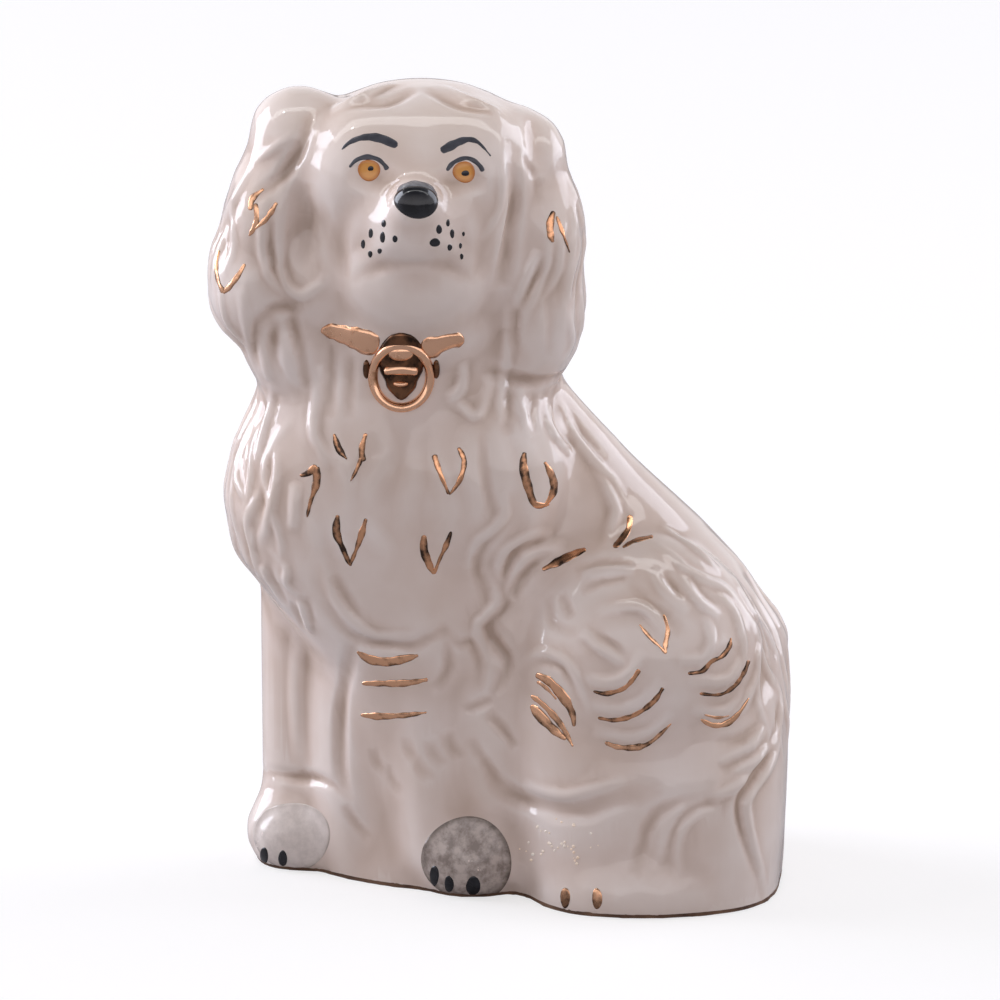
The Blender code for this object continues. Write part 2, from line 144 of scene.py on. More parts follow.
# Wide tool work from the front, the big hollows and swellings: half width, height and line of each pull.
FORMS = [
    # the hollow between the right cheek and the ear, and the swelling beside it
    (2.6, -1.2, [(2.0, 127), (2.6, 119), (1.6, 112), (0.4, 105)]),
    (1.4, 0.45, [(0.2, 125), (0.2, 120), (-0.6, 116), (-2.4, 112.6)]),
    # right ear: the hollow inside, its raised outer edge and the groove beyond that
    (3.8, -0.7, [(6.4, 134), (6.0, 129), (6.2, 123.6)]),
    (1.9, 0.6, [(11.8, 123), (12.4, 116), (12, 110), (11.1, 105), (10.8, 100), (11.2, 95)]),
    (1.7, -0.5, [(13.9, 118), (14, 110), (13.2, 104), (13, 98), (13.3, 92)]),
    # left ear: the crease in front of the flap, the hollow inside, two long locks and the fold of its crown
    (1.9, -0.9, [(-32.4, 132.4), (-33.6, 128), (-35.2, 124.8), (-37.4, 121.8), (-40.6, 119.4)]),
    (3.5, -0.9, [(-33.2, 120), (-33.3, 114), (-32.7, 109), (-31.5, 105.2)]),
    (1.6, 0.8, [(-36.9, 120.4), (-37.3, 115), (-37.4, 110), (-37, 105.8), (-35.2, 103), (-32.6, 102.5),
                (-30, 105)]),
    (1.5, 0.7, [(-40, 117), (-40.3, 112), (-39.7, 107.6), (-38.3, 104.6), (-35.6, 102.4)]),
    (1.2, 0.35, [(-40.8, 125.4), (-38.4, 127), (-35.6, 129)]),
    # parting under the left ear and above the neck fur
    (2.0, -0.8, [(-34.6, 100.2), (-38, 100), (-40.2, 98), (-41, 95), (-40.6, 91.6)]),
    # neck parting under the right ear
    (2.0, -0.8, [(11.6, 89.5), (8, 88), (3, 88.2), (-2, 89.6)]),
    # tuft of the crown: a hollow on each side and the lock before it
    (2.4, -0.8, [(-24, 134.6), (-19, 134.9), (-15.6, 136.6)]),
    (2.4, -0.8, [(-3, 133.6), (-7.4, 134.6), (-11.6, 136.6)]),
    (1.5, 0.7, [(-27, 134.4), (-23.2, 135.6), (-19.4, 137.4)]),
    # eye sockets
    (3.2, -0.6, [(-25, 122.6), (-21, 122), (-18.6, 121)]),
    (3.2, -0.7, [(-3.6, 121.8), (-7, 121.4), (-10, 120.6)]),
    # cheeks beside the muzzle
    (3.0, -0.35, [(-25, 118), (-27, 112), (-26, 106)]),
    (3.0, -0.35, [(-4, 118), (-2.6, 112), (-3.8, 106)]),
    # lips and the line of the mouth under them
    (2.6, 0.3, [(-24.4, 107.4), (-21, 109.6), (-17, 111)]),
    (2.6, 0.3, [(-11.4, 111), (-8, 109.6), (-5.4, 107.4)]),
    (1.8, -0.28, [(-26, 104.4), (-20.6, 106.6), (-14.6, 107.3), (-9, 106.8), (-4.6, 104.6)]),
    # creases between the haunch and the flank and above the hind foot, with the roll between them
    (2.8, -0.4, [(2.4, 50.5), (-1, 47.6), (-1, 43.6), (0.6, 40.4), (-0.4, 36), (-2, 31)]),
    (2.8, -0.75, [(-2.6, 22.4), (0.6, 18.6), (6.6, 15.9), (13, 14.8), (18.4, 16.4), (26, 18.6)]),
    (1.8, 0.6, [(5, 19), (10, 17.8), (15, 18.6), (20, 20)]),
    (1.3, -0.5, [(6.4, 14.4), (9.6, 13.6), (12, 14.8), (14.6, 15.8), (17.4, 15)]),
    # hock: two creases and the two tendons between them
    (1.8, -0.45, [(22.8, 5.4), (23.8, 9), (25.2, 12.8), (28.2, 15.8), (34.4, 17.6)]),
    (1.6, -0.4, [(28.8, 9.6), (30.2, 13), (33, 15.4), (36.6, 17), (39.4, 19.2)]),
    (1.5, 0.3, [(26.4, 6), (27.4, 9.6), (28.6, 12.6), (30.4, 15.2)]),
    (1.5, 0.3, [(30.2, 5), (29.9, 9), (31.2, 12.8), (34, 15.4)]),
    # forelegs: the groove between them, the top of the far paw, the shin and the fold above
    (2.2, -0.8, [(-24.8, 44), (-27, 34), (-27.4, 24), (-26.6, 18)]),
    (1.8, -0.6, [(-39.5, 21.4), (-35.6, 20.6), (-30.4, 20), (-26.4, 17.4)]),
    (2.2, 0.5, [(-34.4, 44), (-34.8, 34), (-34.2, 24)]),
    (1.9, -0.6, [(-24, 44.2), (-20, 43.2), (-15, 43), (-10, 45.4)]),
    # tail against the rump
    (1.6, -0.8, [(46.8, 30), (45.4, 25), (43, 20.6), (40.6, 16.6), (41.2, 11), (43.2, 5)]),
]

# Raised locks, as the ball tool leaves them.
CHEST_LOCKS = [
    [(-38.7, 86), (-39, 83.8), (-39.9, 80.5), (-41, 76.7), (-41.8, 73.7)],
    [(-38.2, 76), (-37.9, 72.4), (-38.5, 68.3), (-39.1, 65.6), (-39.9, 62.6), (-40.8, 60.7)],
    [(-41.6, 67.7), (-42.7, 65.6), (-42.9, 62.9), (-42.3, 60.2), (-41.6, 57.4), (-40.9, 53.4)],
    [(-44.6, 74), (-44.6, 71), (-43.5, 68.8)],
    [(-46, 66), (-45.2, 60), (-43.5, 56), (-41.7, 51.2)],
    [(-31.1, 89.2), (-31.3, 85), (-31.5, 79.7), (-30.7, 77.2), (-29.4, 74.5)],
    [(-34.8, 69), (-35, 64)],
    [(-29.6, 57), (-28.5, 52), (-26.6, 49), (-24.5, 46.9), (-22, 45.2), (-20, 44.7), (-15, 44.5)],
    [(-33.4, 49), (-32.9, 46.9)],
    [(-36.6, 98), (-36.2, 93.6), (-35.4, 89.4)],
    [(-40.2, 98), (-40.6, 93.6), (-39.4, 89)],
]
SHOULDER_LOCKS = [
    [(0.6, 89.8), (0.2, 86.8), (0, 84.2), (0.4, 82)],
    [(-1.7, 87.3), (-3.2, 83.5), (-4.5, 82), (-6, 83), (-7.5, 84.2)],
    [(-6.5, 89.8), (-6.8, 86.8), (-8, 85.3)],
    [(3.2, 86), (3.1, 84), (3.9, 81.7), (4.7, 79.5)],
    [(7.9, 83.5), (8, 81.4), (8.7, 79.4), (10.2, 77.4), (11.2, 76.4)],
    [(10, 84.2), (11.7, 81.2), (13, 78.1), (14.8, 75.6), (17.3, 72.8), (19.4, 70.5), (20.9, 66.8)],
    [(16, 73.6), (18, 69.8), (19.4, 66), (18.8, 63.2), (18.2, 61)],
    [(0.3, 67.8), (0.6, 65.7), (-0.7, 63.7), (-2.5, 61.9), (-4, 60.4), (-5, 57.6)],
    [(7.2, 62.2), (4.6, 61.7), (2.1, 60.4), (0.3, 58.6), (-0.5, 55.8), (0, 53.3)],
    [(9.7, 59.9), (6.1, 58.9), (3.6, 57.3), (1.8, 54.8), (1.1, 52.3)],
    [(-1.7, 55.8), (-0.7, 50.7), (-2.5, 48), (-4, 46.2), (-3, 41.9)],
]
HAUNCH_LOCKS = [
    [(27.3, 59.5), (29.3, 58), (31.3, 56), (34.6, 54.3), (37.5, 53.1), (39.5, 51.3), (41.3, 49.1)],
    [(41.3, 49.1), (43, 46.6), (43.8, 44.1), (43.5, 41.6), (43.2, 38), (41.8, 34.4), (40.3, 32.4),
     (36.3, 31.2)],
    [(39.8, 54.3), (41.3, 51.1), (43.3, 47.6), (45.5, 44.1), (47.2, 41.1)],
    [(43.8, 44.1), (44.7, 39.6), (46, 37.6)],
    [(28.3, 62.5), (31.3, 60.5), (34.6, 58), (36.3, 56.5)],
    [(26.3, 55), (27.1, 53.3), (28.6, 51.6), (30.8, 49.8)],
    [(31.3, 55), (32.6, 52.1), (34.6, 49.8), (36, 48.6)],
    [(37.5, 51.6), (39.3, 49.3), (40.3, 46.6), (41, 43.4), (41, 40.6)],
    [(34.8, 47.1), (35.5, 44.6), (35, 42.1), (33.6, 40.6)],
    [(17.4, 49.1), (20.1, 49.6), (23.4, 49.6), (25.8, 48.1), (27.1, 46.1)],
    [(14.9, 55.3), (18.9, 55.8), (21.4, 55.8)],
    [(14.7, 44.8), (16.9, 42.9), (19.9, 40.9)],
    [(4.2, 40.1), (6.4, 41.6), (8.9, 41.4), (11.2, 40.1), (12.7, 37.6), (13.7, 35.1), (14.9, 32.7)],
    [(38.3, 23.7), (40.8, 24.9), (42.8, 26.7), (44.3, 28.7)],
    [(40.3, 22.2), (42.5, 23.2), (45, 24.9), (46.5, 26.7)],
    [(47.7, 29.2), (47, 25.7), (45.3, 22.2), (42.8, 19), (41.5, 16), (42.3, 11), (44, 5), (45.4, -1)],
    [(36.8, 17.3), (39.3, 19), (40.8, 20)],
]
# Locks over each gilded arc of the haunch.
ARC_LOCKS = [
    [(14.6, 37.6), (17.4, 36.9), (20.4, 37.6), (22.4, 39.4), (23.4, 41.4)],
    [(15.6, 33), (18.9, 32.4), (21.4, 32.7), (24, 34), (26.4, 36.4)],
    [(16.8, 28.6), (19.9, 27.9), (22.9, 27.9), (25.6, 29), (28, 31)],
    [(31.4, 40.8), (33.8, 40.9), (35.6, 42.4), (37.2, 43.8)],
    [(33, 37.2), (36.8, 37), (39.3, 38.4), (40.6, 40.6)],
    [(33.6, 32.3), (36, 31.8), (38.4, 32.4), (40.4, 34.4)],
]
HEAD_LOCKS = [
    # left ear
    [(-42.8, 122.8), (-45, 118.8), (-46.9, 115.4)],
    [(-46, 113.4), (-47.8, 109.6), (-48.6, 105.4)],
    [(-43.8, 102), (-42.8, 97), (-42.4, 92)],
    [(-39.8, 98.6), (-40.4, 94.6), (-39.8, 90.4)],
    [(-37, 98), (-36.4, 95), (-36.6, 92), (-35.8, 90), (-34.6, 87.8)],
    # right ear
    [(10.2, 113.6), (9.9, 108.4), (8.7, 105), (6.8, 102.2)],
    [(8.4, 112.4), (8, 107.6), (7, 104.6), (5.8, 102.2), (4.2, 99.6), (3.2, 96)],
    [(5.8, 108.6), (4.3, 104.8), (2.6, 100.6)],
    [(1.7, 100), (1.3, 96), (1.2, 93), (0.7, 90), (0.1, 86)],
    # crown tuft
    [(-27.2, 133.8), (-23.6, 135.2), (-19.6, 137.4)],
    [(-1.2, 133.8), (-4.8, 135.2), (-8.8, 137.2)],
]
# Partings cut with the gouge.
CHEST_PARTINGS = [
    [(-40.4, 84.8), (-40.2, 83.2), (-40.8, 80.8)],
    [(-39.4, 76.2), (-39.4, 72.9), (-39.9, 68.8), (-41, 65.6), (-41.3, 63.7)],
    [(-43.6, 62.6), (-43.2, 60.2), (-42.4, 57.2), (-41.7, 55)],
    [(-27.7, 53.9), (-26.4, 51.7), (-24.7, 49)],
    [(-29.4, 49.6), (-28, 47.4), (-26.4, 45.5), (-25, 44.4), (-22.3, 43), (-16, 43)],
    [(-39.1, 57.7), (-38.9, 54.7), (-37.8, 52.8), (-37, 51.2)],
    [(-34.8, 49), (-34, 46.9)],
    [(-32.9, 50), (-32.6, 48.4)],
    [(-38.6, 97.4), (-38.4, 93.4), (-37.4, 89.4)],
    [(-34.4, 96), (-33.6, 92), (-33.2, 88)],
    [(-28.6, 92.6), (-28.8, 88), (-28.9, 83)],
    [(-25.4, 91), (-25.6, 87), (-25.7, 83)],
]
SHOULDER_PARTINGS = [
    [(1.1, 86.5), (0.8, 83.7), (1.1, 80.2)],
    [(5.6, 84.6), (5.2, 82.4), (4.9, 80)],
    [(9.2, 82.7), (9.7, 80), (11.7, 77.6)],
    [(12, 81.7), (13.7, 79.2), (16.8, 75.6)],
    [(-3, 77.6), (-2.7, 72), (-1.7, 66.5)],
    [(0, 63.4), (-2, 60.9), (-3.5, 58.9), (-4, 57), (-3.5, 53.8), (-2.5, 51.3)],
    [(6.1, 60.6), (3.6, 59.6), (1.8, 57.8), (0.8, 55.8)],
    [(5.6, 56.3), (3.9, 54.5), (2.6, 52.3)],
    [(1, 49.5), (-1.8, 47.7), (-1.5, 44.9), (-0.4, 43.3), (1, 40.5), (0.2, 36.8), (-1.5, 34.9)],
    [(-10, 46.2), (-7.5, 43.6), (-5, 43.4), (-3.7, 40.4), (-3.7, 36.8)],
    [(-9.1, 43.6), (-8.9, 39.5), (-10.5, 36.8)],
]
HAUNCH_PARTINGS = [
    [(28.1, 54.3), (29.6, 52.3)],
    [(31.8, 54.8), (33.6, 51.8), (35.8, 50.6)],
    [(22.4, 53.1), (24.4, 51.1), (26.6, 49.3), (28.3, 48.1), (29.8, 46.1)],
    [(14.9, 52.8), (16.9, 53.8), (19.9, 54.3)],
    [(13.9, 56.3), (16.9, 57.3), (20.9, 57)],
    [(8.1, 50.1), (8.3, 48.1), (9.4, 46.6), (11.4, 45.8)],
    [(10.7, 50.6), (11.4, 49.1)],
    [(16.6, 44.1), (18.4, 43.4), (20.1, 41.4)],
    [(4.7, 40.1), (6.9, 40.6), (9.7, 39.9), (11.4, 38.1), (12.7, 35.6), (13.4, 33.4)],
    [(37.8, 26.9), (40.3, 27.4), (42.3, 28.9)],
    [(38.5, 22.7), (41.3, 24.7)],
    [(42.8, 20), (44.3, 22.2), (45.8, 24.7)],
    [(47, 32.2), (47.2, 28.4)],
    [(-4.5, 26), (-2.6, 23), (-1, 20.3)],
    [(-1.2, 30.6), (0.4, 28.7), (1.7, 26.8)],
    [(-4.8, 32.5), (-2.6, 33.6)],
    [(-25.9, 14.6), (-24.9, 12.9), (-23.5, 11.3)],
    [(-39, 14.3), (-41.1, 12.4), (-42.2, 8.9)],
]
HEAD_PARTINGS = [
    [(-38.7, 113.6), (-38.5, 109), (-37.7, 105)],
    [(-44.4, 117.4), (-46, 113.6), (-46.6, 110)],
    [(-38.4, 97.4), (-38.6, 93.4), (-37.6, 89)],
    [(-35, 99), (-34.4, 95), (-34.4, 91)],
    [(3.2, 126), (4.6, 124.2), (5.8, 121.8), (6.2, 118.6)],
    [(9.2, 110), (8.8, 107), (7.4, 104), (6.2, 101.8)],
    [(6.6, 107.6), (5, 104), (3.6, 100.8)],
    [(2.6, 100.6), (2.3, 96), (1.8, 92)],
    [(8, 102.4), (8.4, 97.4), (8.2, 93)],
]
# Small dents in the fur between the forelegs: the tool's half width and depth, and where each one is.
DENT, DENT_DEPTH = 1.8, 0.25
DENTS = [(-20.9, 23), (-15.4, 24.9), (-8.5, 26), (-18.6, 20.3), (-13.7, 22.2), (-11.4, 24.6)]

# Half widths of the ball tool and the gouge, how far each runs on past a line's ends, and how far apart
# the places are where it touches the clay.
RIDGE = 1.7
GOUGE = 1.6
RUN_ON = 1.6
PRESS_STEP = 0.35

# The fur that the lists give: the look it is worked from, its lines, the tool's half width, and how far
# it raises the clay, or cuts it where that is below zero. The far side is modelled more lightly.
LISTED_FUR = [
    ("front", CHEST_LOCKS, RIDGE, 0.65),
    ("front", SHOULDER_LOCKS, RIDGE, 0.65),
    ("front", HAUNCH_LOCKS, RIDGE, 0.65),
    ("front", ARC_LOCKS, RIDGE, 0.5),
    ("front", HEAD_LOCKS, RIDGE, 0.5),
    ("front", CHEST_PARTINGS, GOUGE, -0.36),
    ("front", SHOULDER_PARTINGS, GOUGE, -0.36),
    ("front", HAUNCH_PARTINGS, GOUGE, -0.36),
    ("front", HEAD_PARTINGS, GOUGE, -0.3),
    ("behind", CHEST_LOCKS + SHOULDER_LOCKS + HAUNCH_LOCKS + ARC_LOCKS, RIDGE + 0.2, 0.42),
    ("behind", CHEST_PARTINGS + SHOULDER_PARTINGS + HAUNCH_PARTINGS, GOUGE + 0.2, -0.4),
]
# Locks combed side by side over a patch: the look, the patch's left, right, low and high edges, the
# spacing, the lean, the seed, the tool's half width and how far it raises the clay.
BREAST_WAVES = ("front", (-38, 6, 56, 88), 5.2, 0.0, 23, 2.8, 0.2)
COMBED_FUR = [
    ("behind", (-40, 8, 92, 134), 4.2, 0.0, 3, 1.7, 0.5),
    ("behind", (-38, 8, 60, 92), 4.6, 0.05, 5, 1.7, 0.4),
    ("breast", (-14, 18, 52, 88), 3.6, 0.0, 7, 1.4, 0.55),
    ("breast", (-12, 12, 92, 128), 3.8, 0.0, 11, 1.4, 0.45),
    ("rump", (-18, 20, 24, 60), 4.0, 0.0, 13, 1.5, 0.5),
    ("rump", (-12, 12, 92, 126), 3.8, 0.0, 17, 1.4, 0.45),
]
# A combed lock: its length, its sway to each side, the step from its foot to the next one's top, the
# least room left for one more, how far down the first may start, and the number of its points.
LOCK_LENGTH = (15, 26)
LOCK_SWAY = (0.6, 1.5)
LOCK_STEP = (-3, 2)
LOCK_ROOM = 7
LOCK_START = (0, 9)
LOCK_POINTS = 9

# Brush work in gold: each mark is one or more pulls, given as its line and its widths along it.
GILT_MARKS = {
    "gilt_ear_left_upper": [
        ([(-40, 120.2), (-41.9, 118.6), (-42.3, 116.6)], (0.5, 1.1, 0.7)),
        ([(-41.4, 117.8), (-41.2, 115), (-41.8, 113.4), (-42.5, 112.3)], (0.8, 1.0, 0.8, 0.4)),
        ([(-37.8, 117.9), (-38.8, 116.2), (-39.8, 114.9), (-41.6, 113.4)], (0.5, 1.0, 0.8, 0.3)),
    ],
    "gilt_ear_left_lower": [
        ([(-47.7, 110), (-48.1, 107.4), (-47.8, 104.8), (-46.8, 102.8)], (0.7, 0.6, 0.7, 0.9)),
        ([(-43.2, 107.6), (-44.4, 105.6), (-45.8, 103.8), (-47, 102.7)], (0.4, 1.0, 0.9, 0.7)),
    ],
    "gilt_ear_right": [
        ([(8.9, 116.5), (8.3, 114.4), (8.4, 112.4), (8.8, 111.2)], (0.9, 1.2, 1.2, 0.6)),
        ([(9.4, 115.6), (10.1, 113.8), (10.8, 111.8), (11.6, 109.5)], (0.5, 0.7, 0.5, 0.3)),
    ],
    "gilt_chest_left": [
        ([(-28.2, 78.9), (-27.4, 76.4), (-26, 74.6)], (0.6, 1.2, 0.4)),
        ([(-22.8, 79), (-23.5, 76.4), (-23.3, 74.2)], (0.6, 1.1, 1.0)),
        ([(-23.5, 75), (-24.3, 73), (-25.4, 70.9)], (0.9, 0.6, 0.3)),
    ],
    "gilt_chest_middle": [
        ([(-11.3, 75.4), (-10.4, 72.6), (-8.8, 68.7)], (0.9, 0.9, 0.4)),
        ([(-7.2, 76.6), (-6.2, 74.2), (-7, 71), (-8.7, 68.6)], (0.6, 1.0, 0.8, 0.4)),
    ],
    "gilt_shoulder": [
        ([(4, 75.8), (3.8, 73.4), (4.6, 70), (5.8, 67), (8.2, 67)], (0.7, 1.5, 1.5, 1.1, 0.5)),
        ([(7.4, 74.2), (8.7, 71.6), (8.9, 69.2), (7.4, 66.6)], (0.5, 1.4, 1.2, 0.6)),
    ],
    "gilt_breast_left": [
        ([(-27.6, 65.2), (-27.8, 62.2), (-26.6, 59.2), (-25.6, 56.8)], (0.8, 1.4, 0.9, 0.6)),
        ([(-22.8, 64.6), (-23.6, 61.8), (-24.6, 59), (-25.6, 56.6)], (0.6, 1.1, 0.7, 0.5)),
    ],
    "gilt_breast_middle": [
        ([(-13, 61.8), (-13, 59.2), (-12.2, 57), (-11.4, 55.2)], (0.9, 1.5, 1.2, 0.6)),
        ([(-8.4, 62.4), (-9.2, 60.2), (-10.4, 57.6), (-11.3, 55.2)], (0.5, 0.9, 0.6, 0.4)),
    ],
    "gilt_chest_edge": [
        ([(-34, 71.8), (-32.4, 72.4), (-31.2, 73.6)], (0.5, 1.2, 0.9)),
        ([(-31.2, 73.4), (-31.2, 70.6), (-32.2, 67.4), (-32.8, 64.8)], (1.3, 1.3, 0.7, 0.3)),
    ],
    "gilt_haunch_dash": [([(7, 55.9), (9.6, 57.2), (12, 58.4), (14.4, 59.4)], (0.6, 1.4, 1.4, 0.7))],
    "gilt_haunch_top": [
        ([(21.9, 65.2), (21.6, 62.8), (19.8, 60.4), (19, 59.8)], (1.0, 1.1, 1.0, 0.6)),
        ([(20.6, 59.7), (22.6, 60.8), (25.8, 61.6)], (0.4, 0.8, 0.5)),
    ],
    "gilt_haunch_middle": [
        ([(23.4, 46.7), (25.1, 44.6), (26.8, 43), (27.9, 41.8)], (0.4, 0.6, 0.5, 0.5)),
        ([(27.5, 48.4), (28.2, 45.8), (27.8, 43.4), (27.9, 41.8)], (0.4, 0.8, 0.8, 0.4)),
    ],
    "gilt_arc_front_top": [
        ([(15.6, 35.4), (17.8, 35), (20.6, 35.8), (22.2, 37.3), (23.4, 39.1)], (0.4, 0.8, 0.8, 0.7, 0.8)),
    ],
    "gilt_arc_front_middle": [
        ([(16.4, 30.9), (19, 30.5), (21.6, 31), (24, 32.2), (26.1, 34), (27.4, 36)],
         (0.4, 0.8, 0.8, 0.8, 0.9, 0.6)),
    ],
    "gilt_arc_front_low": [
        ([(17.6, 26.7), (20, 25.9), (23, 25.9), (25.4, 26.8), (28.8, 29.9)], (0.5, 0.9, 1.1, 0.7, 0.3)),
    ],
    "gilt_arc_back_top": [
        ([(31.6, 38.4), (34, 38.8), (35.6, 40.4), (37.4, 41.3), (38.6, 42.9), (38.9, 44.4)],
         (0.6, 0.8, 0.7, 0.8, 0.8, 0.4)),
    ],
    "gilt_arc_back_middle": [
        ([(33.6, 35), (37, 34.8), (39.4, 36.1), (41, 38.2), (42, 40.6)], (0.4, 0.6, 0.7, 0.8, 0.5)),
    ],
    "gilt_arc_back_low": [
        ([(33.8, 30.6), (36, 29.6), (38.4, 30), (40.4, 31.8), (42, 34.2)], (0.4, 0.9, 1.1, 0.7, 0.3)),
        ([(34.4, 31.4), (36.6, 30.9), (38.6, 31.2)], (0.2, 0.45, 0.2)),
    ],
    "gilt_stifle_upper": [
        ([(5.9, 38.2), (8.2, 37), (10.4, 34.6), (12, 31.8), (12.4, 29.4)], (0.8, 1.5, 1.7, 1.2, 0.4)),
        ([(6.1, 37), (7.8, 35.8), (9.4, 34)], (0.4, 0.6, 0.3)),
    ],
    "gilt_stifle_lower": [
        ([(5.1, 34.6), (6.8, 33.4), (8.8, 31.4), (10.6, 29), (12.2, 26)], (0.6, 0.9, 1.1, 1.0, 0.3)),
        ([(5.1, 33), (6.8, 31), (9, 28.8), (11, 27.2)], (0.8, 1.9, 1.4, 0.6)),
    ],
    "gilt_leg_top": [
        ([(-24.4, 42), (-22.2, 40.7), (-19.2, 40.3), (-16.4, 40.8), (-14, 41.4)], (0.6, 1.5, 1.6, 1.4, 0.6)),
    ],
    "gilt_leg_middle": [([(-23.6, 36.6), (-20, 36.6), (-16, 36.7), (-12.4, 37.3)], (0.5, 1.1, 1.2, 0.5))],
    "gilt_leg_low": [([(-23.8, 31.2), (-20.6, 31), (-16.4, 31.2), (-12.6, 31.7)], (0.6, 1.2, 0.9, 0.4))],
}
# Marks given more painted shade: more of their gold is painted brown.
MORE_SHADED_GILT = {
    "gilt_ear_right", "gilt_chest_left", "gilt_chest_middle", "gilt_shoulder", "gilt_breast_left",
    "gilt_breast_middle", "gilt_chest_edge", "gilt_haunch_top", "gilt_haunch_dash", "gilt_arc_front_top",
    "gilt_arc_back_top", "gilt_arc_back_middle", "gilt_arc_front_middle",
}
CHAINS = {
    "neck_chain_left": (
        [(-30.4, 96.4), (-28.4, 96.2), (-26.4, 95.6), (-24.4, 95), (-22.4, 94.2), (-20.6, 93.6)],
        (1.0, 2.6, 3.2, 3.7, 4.2, 4.2),
    ),
    "neck_chain_right": (
        [(-13.4, 92.9), (-11.8, 93.4), (-10.2, 94), (-8.6, 94.5), (-7.2, 94.7), (-6.2, 94.7)],
        (4.0, 3.8, 2.9, 2.4, 2.4, 1.6),
    ),
}
BROWS = {
    "brow_left": (
        [(-26.8, 126.7), (-25.6, 127.8), (-23.8, 128.6), (-21.8, 128.8), (-19.8, 128.4), (-17.4, 127.3)],
        (0.25, 0.6, 1.0, 1.3, 1.5, 1.4),
    ),
    "brow_right": (
        [(-10.1, 126.4), (-8.6, 127.2), (-7, 128), (-5.4, 128.4), (-4, 128), (-2.8, 126.9), (-1.7, 125.6)],
        (1.2, 1.45, 1.35, 0.95, 0.6, 0.4, 0.25),
    ),
}
LIDS = {
    "lid_left": (
        [(-25.5, 123.7), (-24.5, 124.8), (-23.2, 125.35), (-22, 125.4), (-20.6, 125), (-19.6, 124.1),
         (-19.1, 123.3)],
        (0.6, 0.65, 0.8, 0.85, 0.75, 0.75, 0.7),
    ),
    "lid_right": (
        [(-9.1, 123.1), (-8.3, 124.2), (-7.2, 124.9), (-5.8, 125.25), (-4.5, 124.8), (-3.5, 123.9),
         (-3, 123)],
        (0.55, 0.65, 0.75, 0.8, 0.7, 0.7, 0.75),
    ),
}
# Ovals of colour: centre and half sizes.
IRISES = {"iris_left": ((-22.2, 123.2), (1.85, 1.85)), "iris_right": ((-6.2, 122.9), (1.85, 1.85))}
PUPILS = {"pupil_left": ((-21.9, 123.5), (0.55, 0.45)), "pupil_right": ((-6.0, 122.7), (0.72, 0.52))}
BLACK_CLAWS = {
    "claw_far_outer": ((-40.4, 7.1), (0.7, 1.4)),
    "claw_far_inner": ((-37.2, 6.6), (0.75, 1.4)),
    "claw_near_outer": ((-11.3, 3.9), (0.8, 1.7)),
    "claw_near_middle": ((-8.8, 2.5), (0.8, 1.4)),
    "claw_near_inner": ((-4.7, 2.2), (1.25, 1.6)),
}
GILT_CLAWS = {"claw_hind_outer": ((10.9, 0.3), (0.85, 1.7)), "claw_hind_inner": ((16.3, 0.2), (0.85, 1.8))}
WASHES = {"paw_wash_near": ((-5.7, 6.7), (7.5, 7.4)), "paw_wash_far": ((-35.6, 10.4), (6.4, 6.0))}
WHISKER_SPOTS = [
    ((-19.7, 114.2), (0.4, 0.6)),
    ((-21.9, 112.6), (0.38, 0.8)),
    ((-19.9, 111.9), (0.42, 0.95)),
    ((-17.8, 111.6), (0.42, 0.6)),
    ((-23.2, 110.8), (0.36, 0.75)),
    ((-22, 109.1), (0.38, 0.55)),
    ((-20.4, 109.6), (0.38, 0.45)),
    ((-10.4, 113.2), (0.5, 0.75)),
    ((-8.9, 114.3), (0.32, 0.6)),
    ((-8.2, 112.5), (0.36, 0.75)),
    ((-11.1, 111), (0.9, 0.7)),
    ((-8.6, 110.2), (0.4, 0.55)),
    ((-6.3, 112.5), (0.22, 0.4)),
    ((-6.8, 110.5), (0.25, 0.5)),
    ((-6.6, 108.7), (0.28, 0.5)),
]
NOSE = ((-14.2, 117.8), (3.75, 2.75))
# The grey over the top of the nose: thinner black enamel, with a painted highlight where the top of the nose
# catches the light.
NOSE_BRIDGE = ([(-17.6, 118.6), (-16.6, 120.2), (-14.2, 120.9), (-11.9, 120.2), (-10.9, 118.6)],
               (0.5, 0.9, 1.0, 0.9, 0.5))
# The middle of the locket's ring.
LOCKET = (-16.8, 88.6)

# How much further towards the gold's brown the edge of a brush mark is pushed than its middle, as a share of
# its patches.
EDGE_THINNING = 0.16
# Painted glints beside the near hind foot: near-white specks that stand for highlights on the glaze. Sizes
# are the least and the greatest half size of a speck.
GLINT_SCATTER = {"place": (9.5, 9.8), "spread": (7.5, 4.2), "count": 34, "seed": 41, "sizes": (0.12, 0.3)}

# Casting: how finely the clay and its core are meshed, how often the blend is softened, the wall, the
# drain hole's radius and place and its drill's length, the share of the faces kept in the finished skin,
# and the sharpest angle shaded smooth.
CLAY_GRAIN = 1.8
CORE_GRAIN = 3
BLEND_PASSES = 8
WALL = 3.5
DRAIN_HOLE_RADIUS = 5.5
DRAIN_HOLE_PLACE = (12, 0, 0)
DRAIN_DRILL_LENGTH = 14
FACES_KEPT = 0.45
SMOOTH_ANGLE = math.radians(50)

# Glaze pools in hollows, and shade is painted there: how often the surface is evened out, and the depth from
# dry to full over which the hollows darken.
EVENING_PASSES = 24
POOL_AND_SHADE_DEPTH = 0.5

# Painted layers: the reach over which the clay's direction is averaged, the least thickness, the length of
# a brush pull's steps, its rows across, how deep a layer is sunk, and how uneven pulls and dabs are.
BRISTLE_REACH = 0.9
LEAST_FILM = 0.02
PULL_STEP = 0.22
PULL_ROWS = 6
SUNK = 0.12
UNEVEN = 0.04
DAB_WOBBLE = 0.03
A_TURN = 6.28

# The foot line, unglazed and painted dark brown as the shadow along the base: its height, and how far it
# stands out of the glaze.
FOOT_HEIGHT = 0.6
FOOT_RELIEF = 0.06

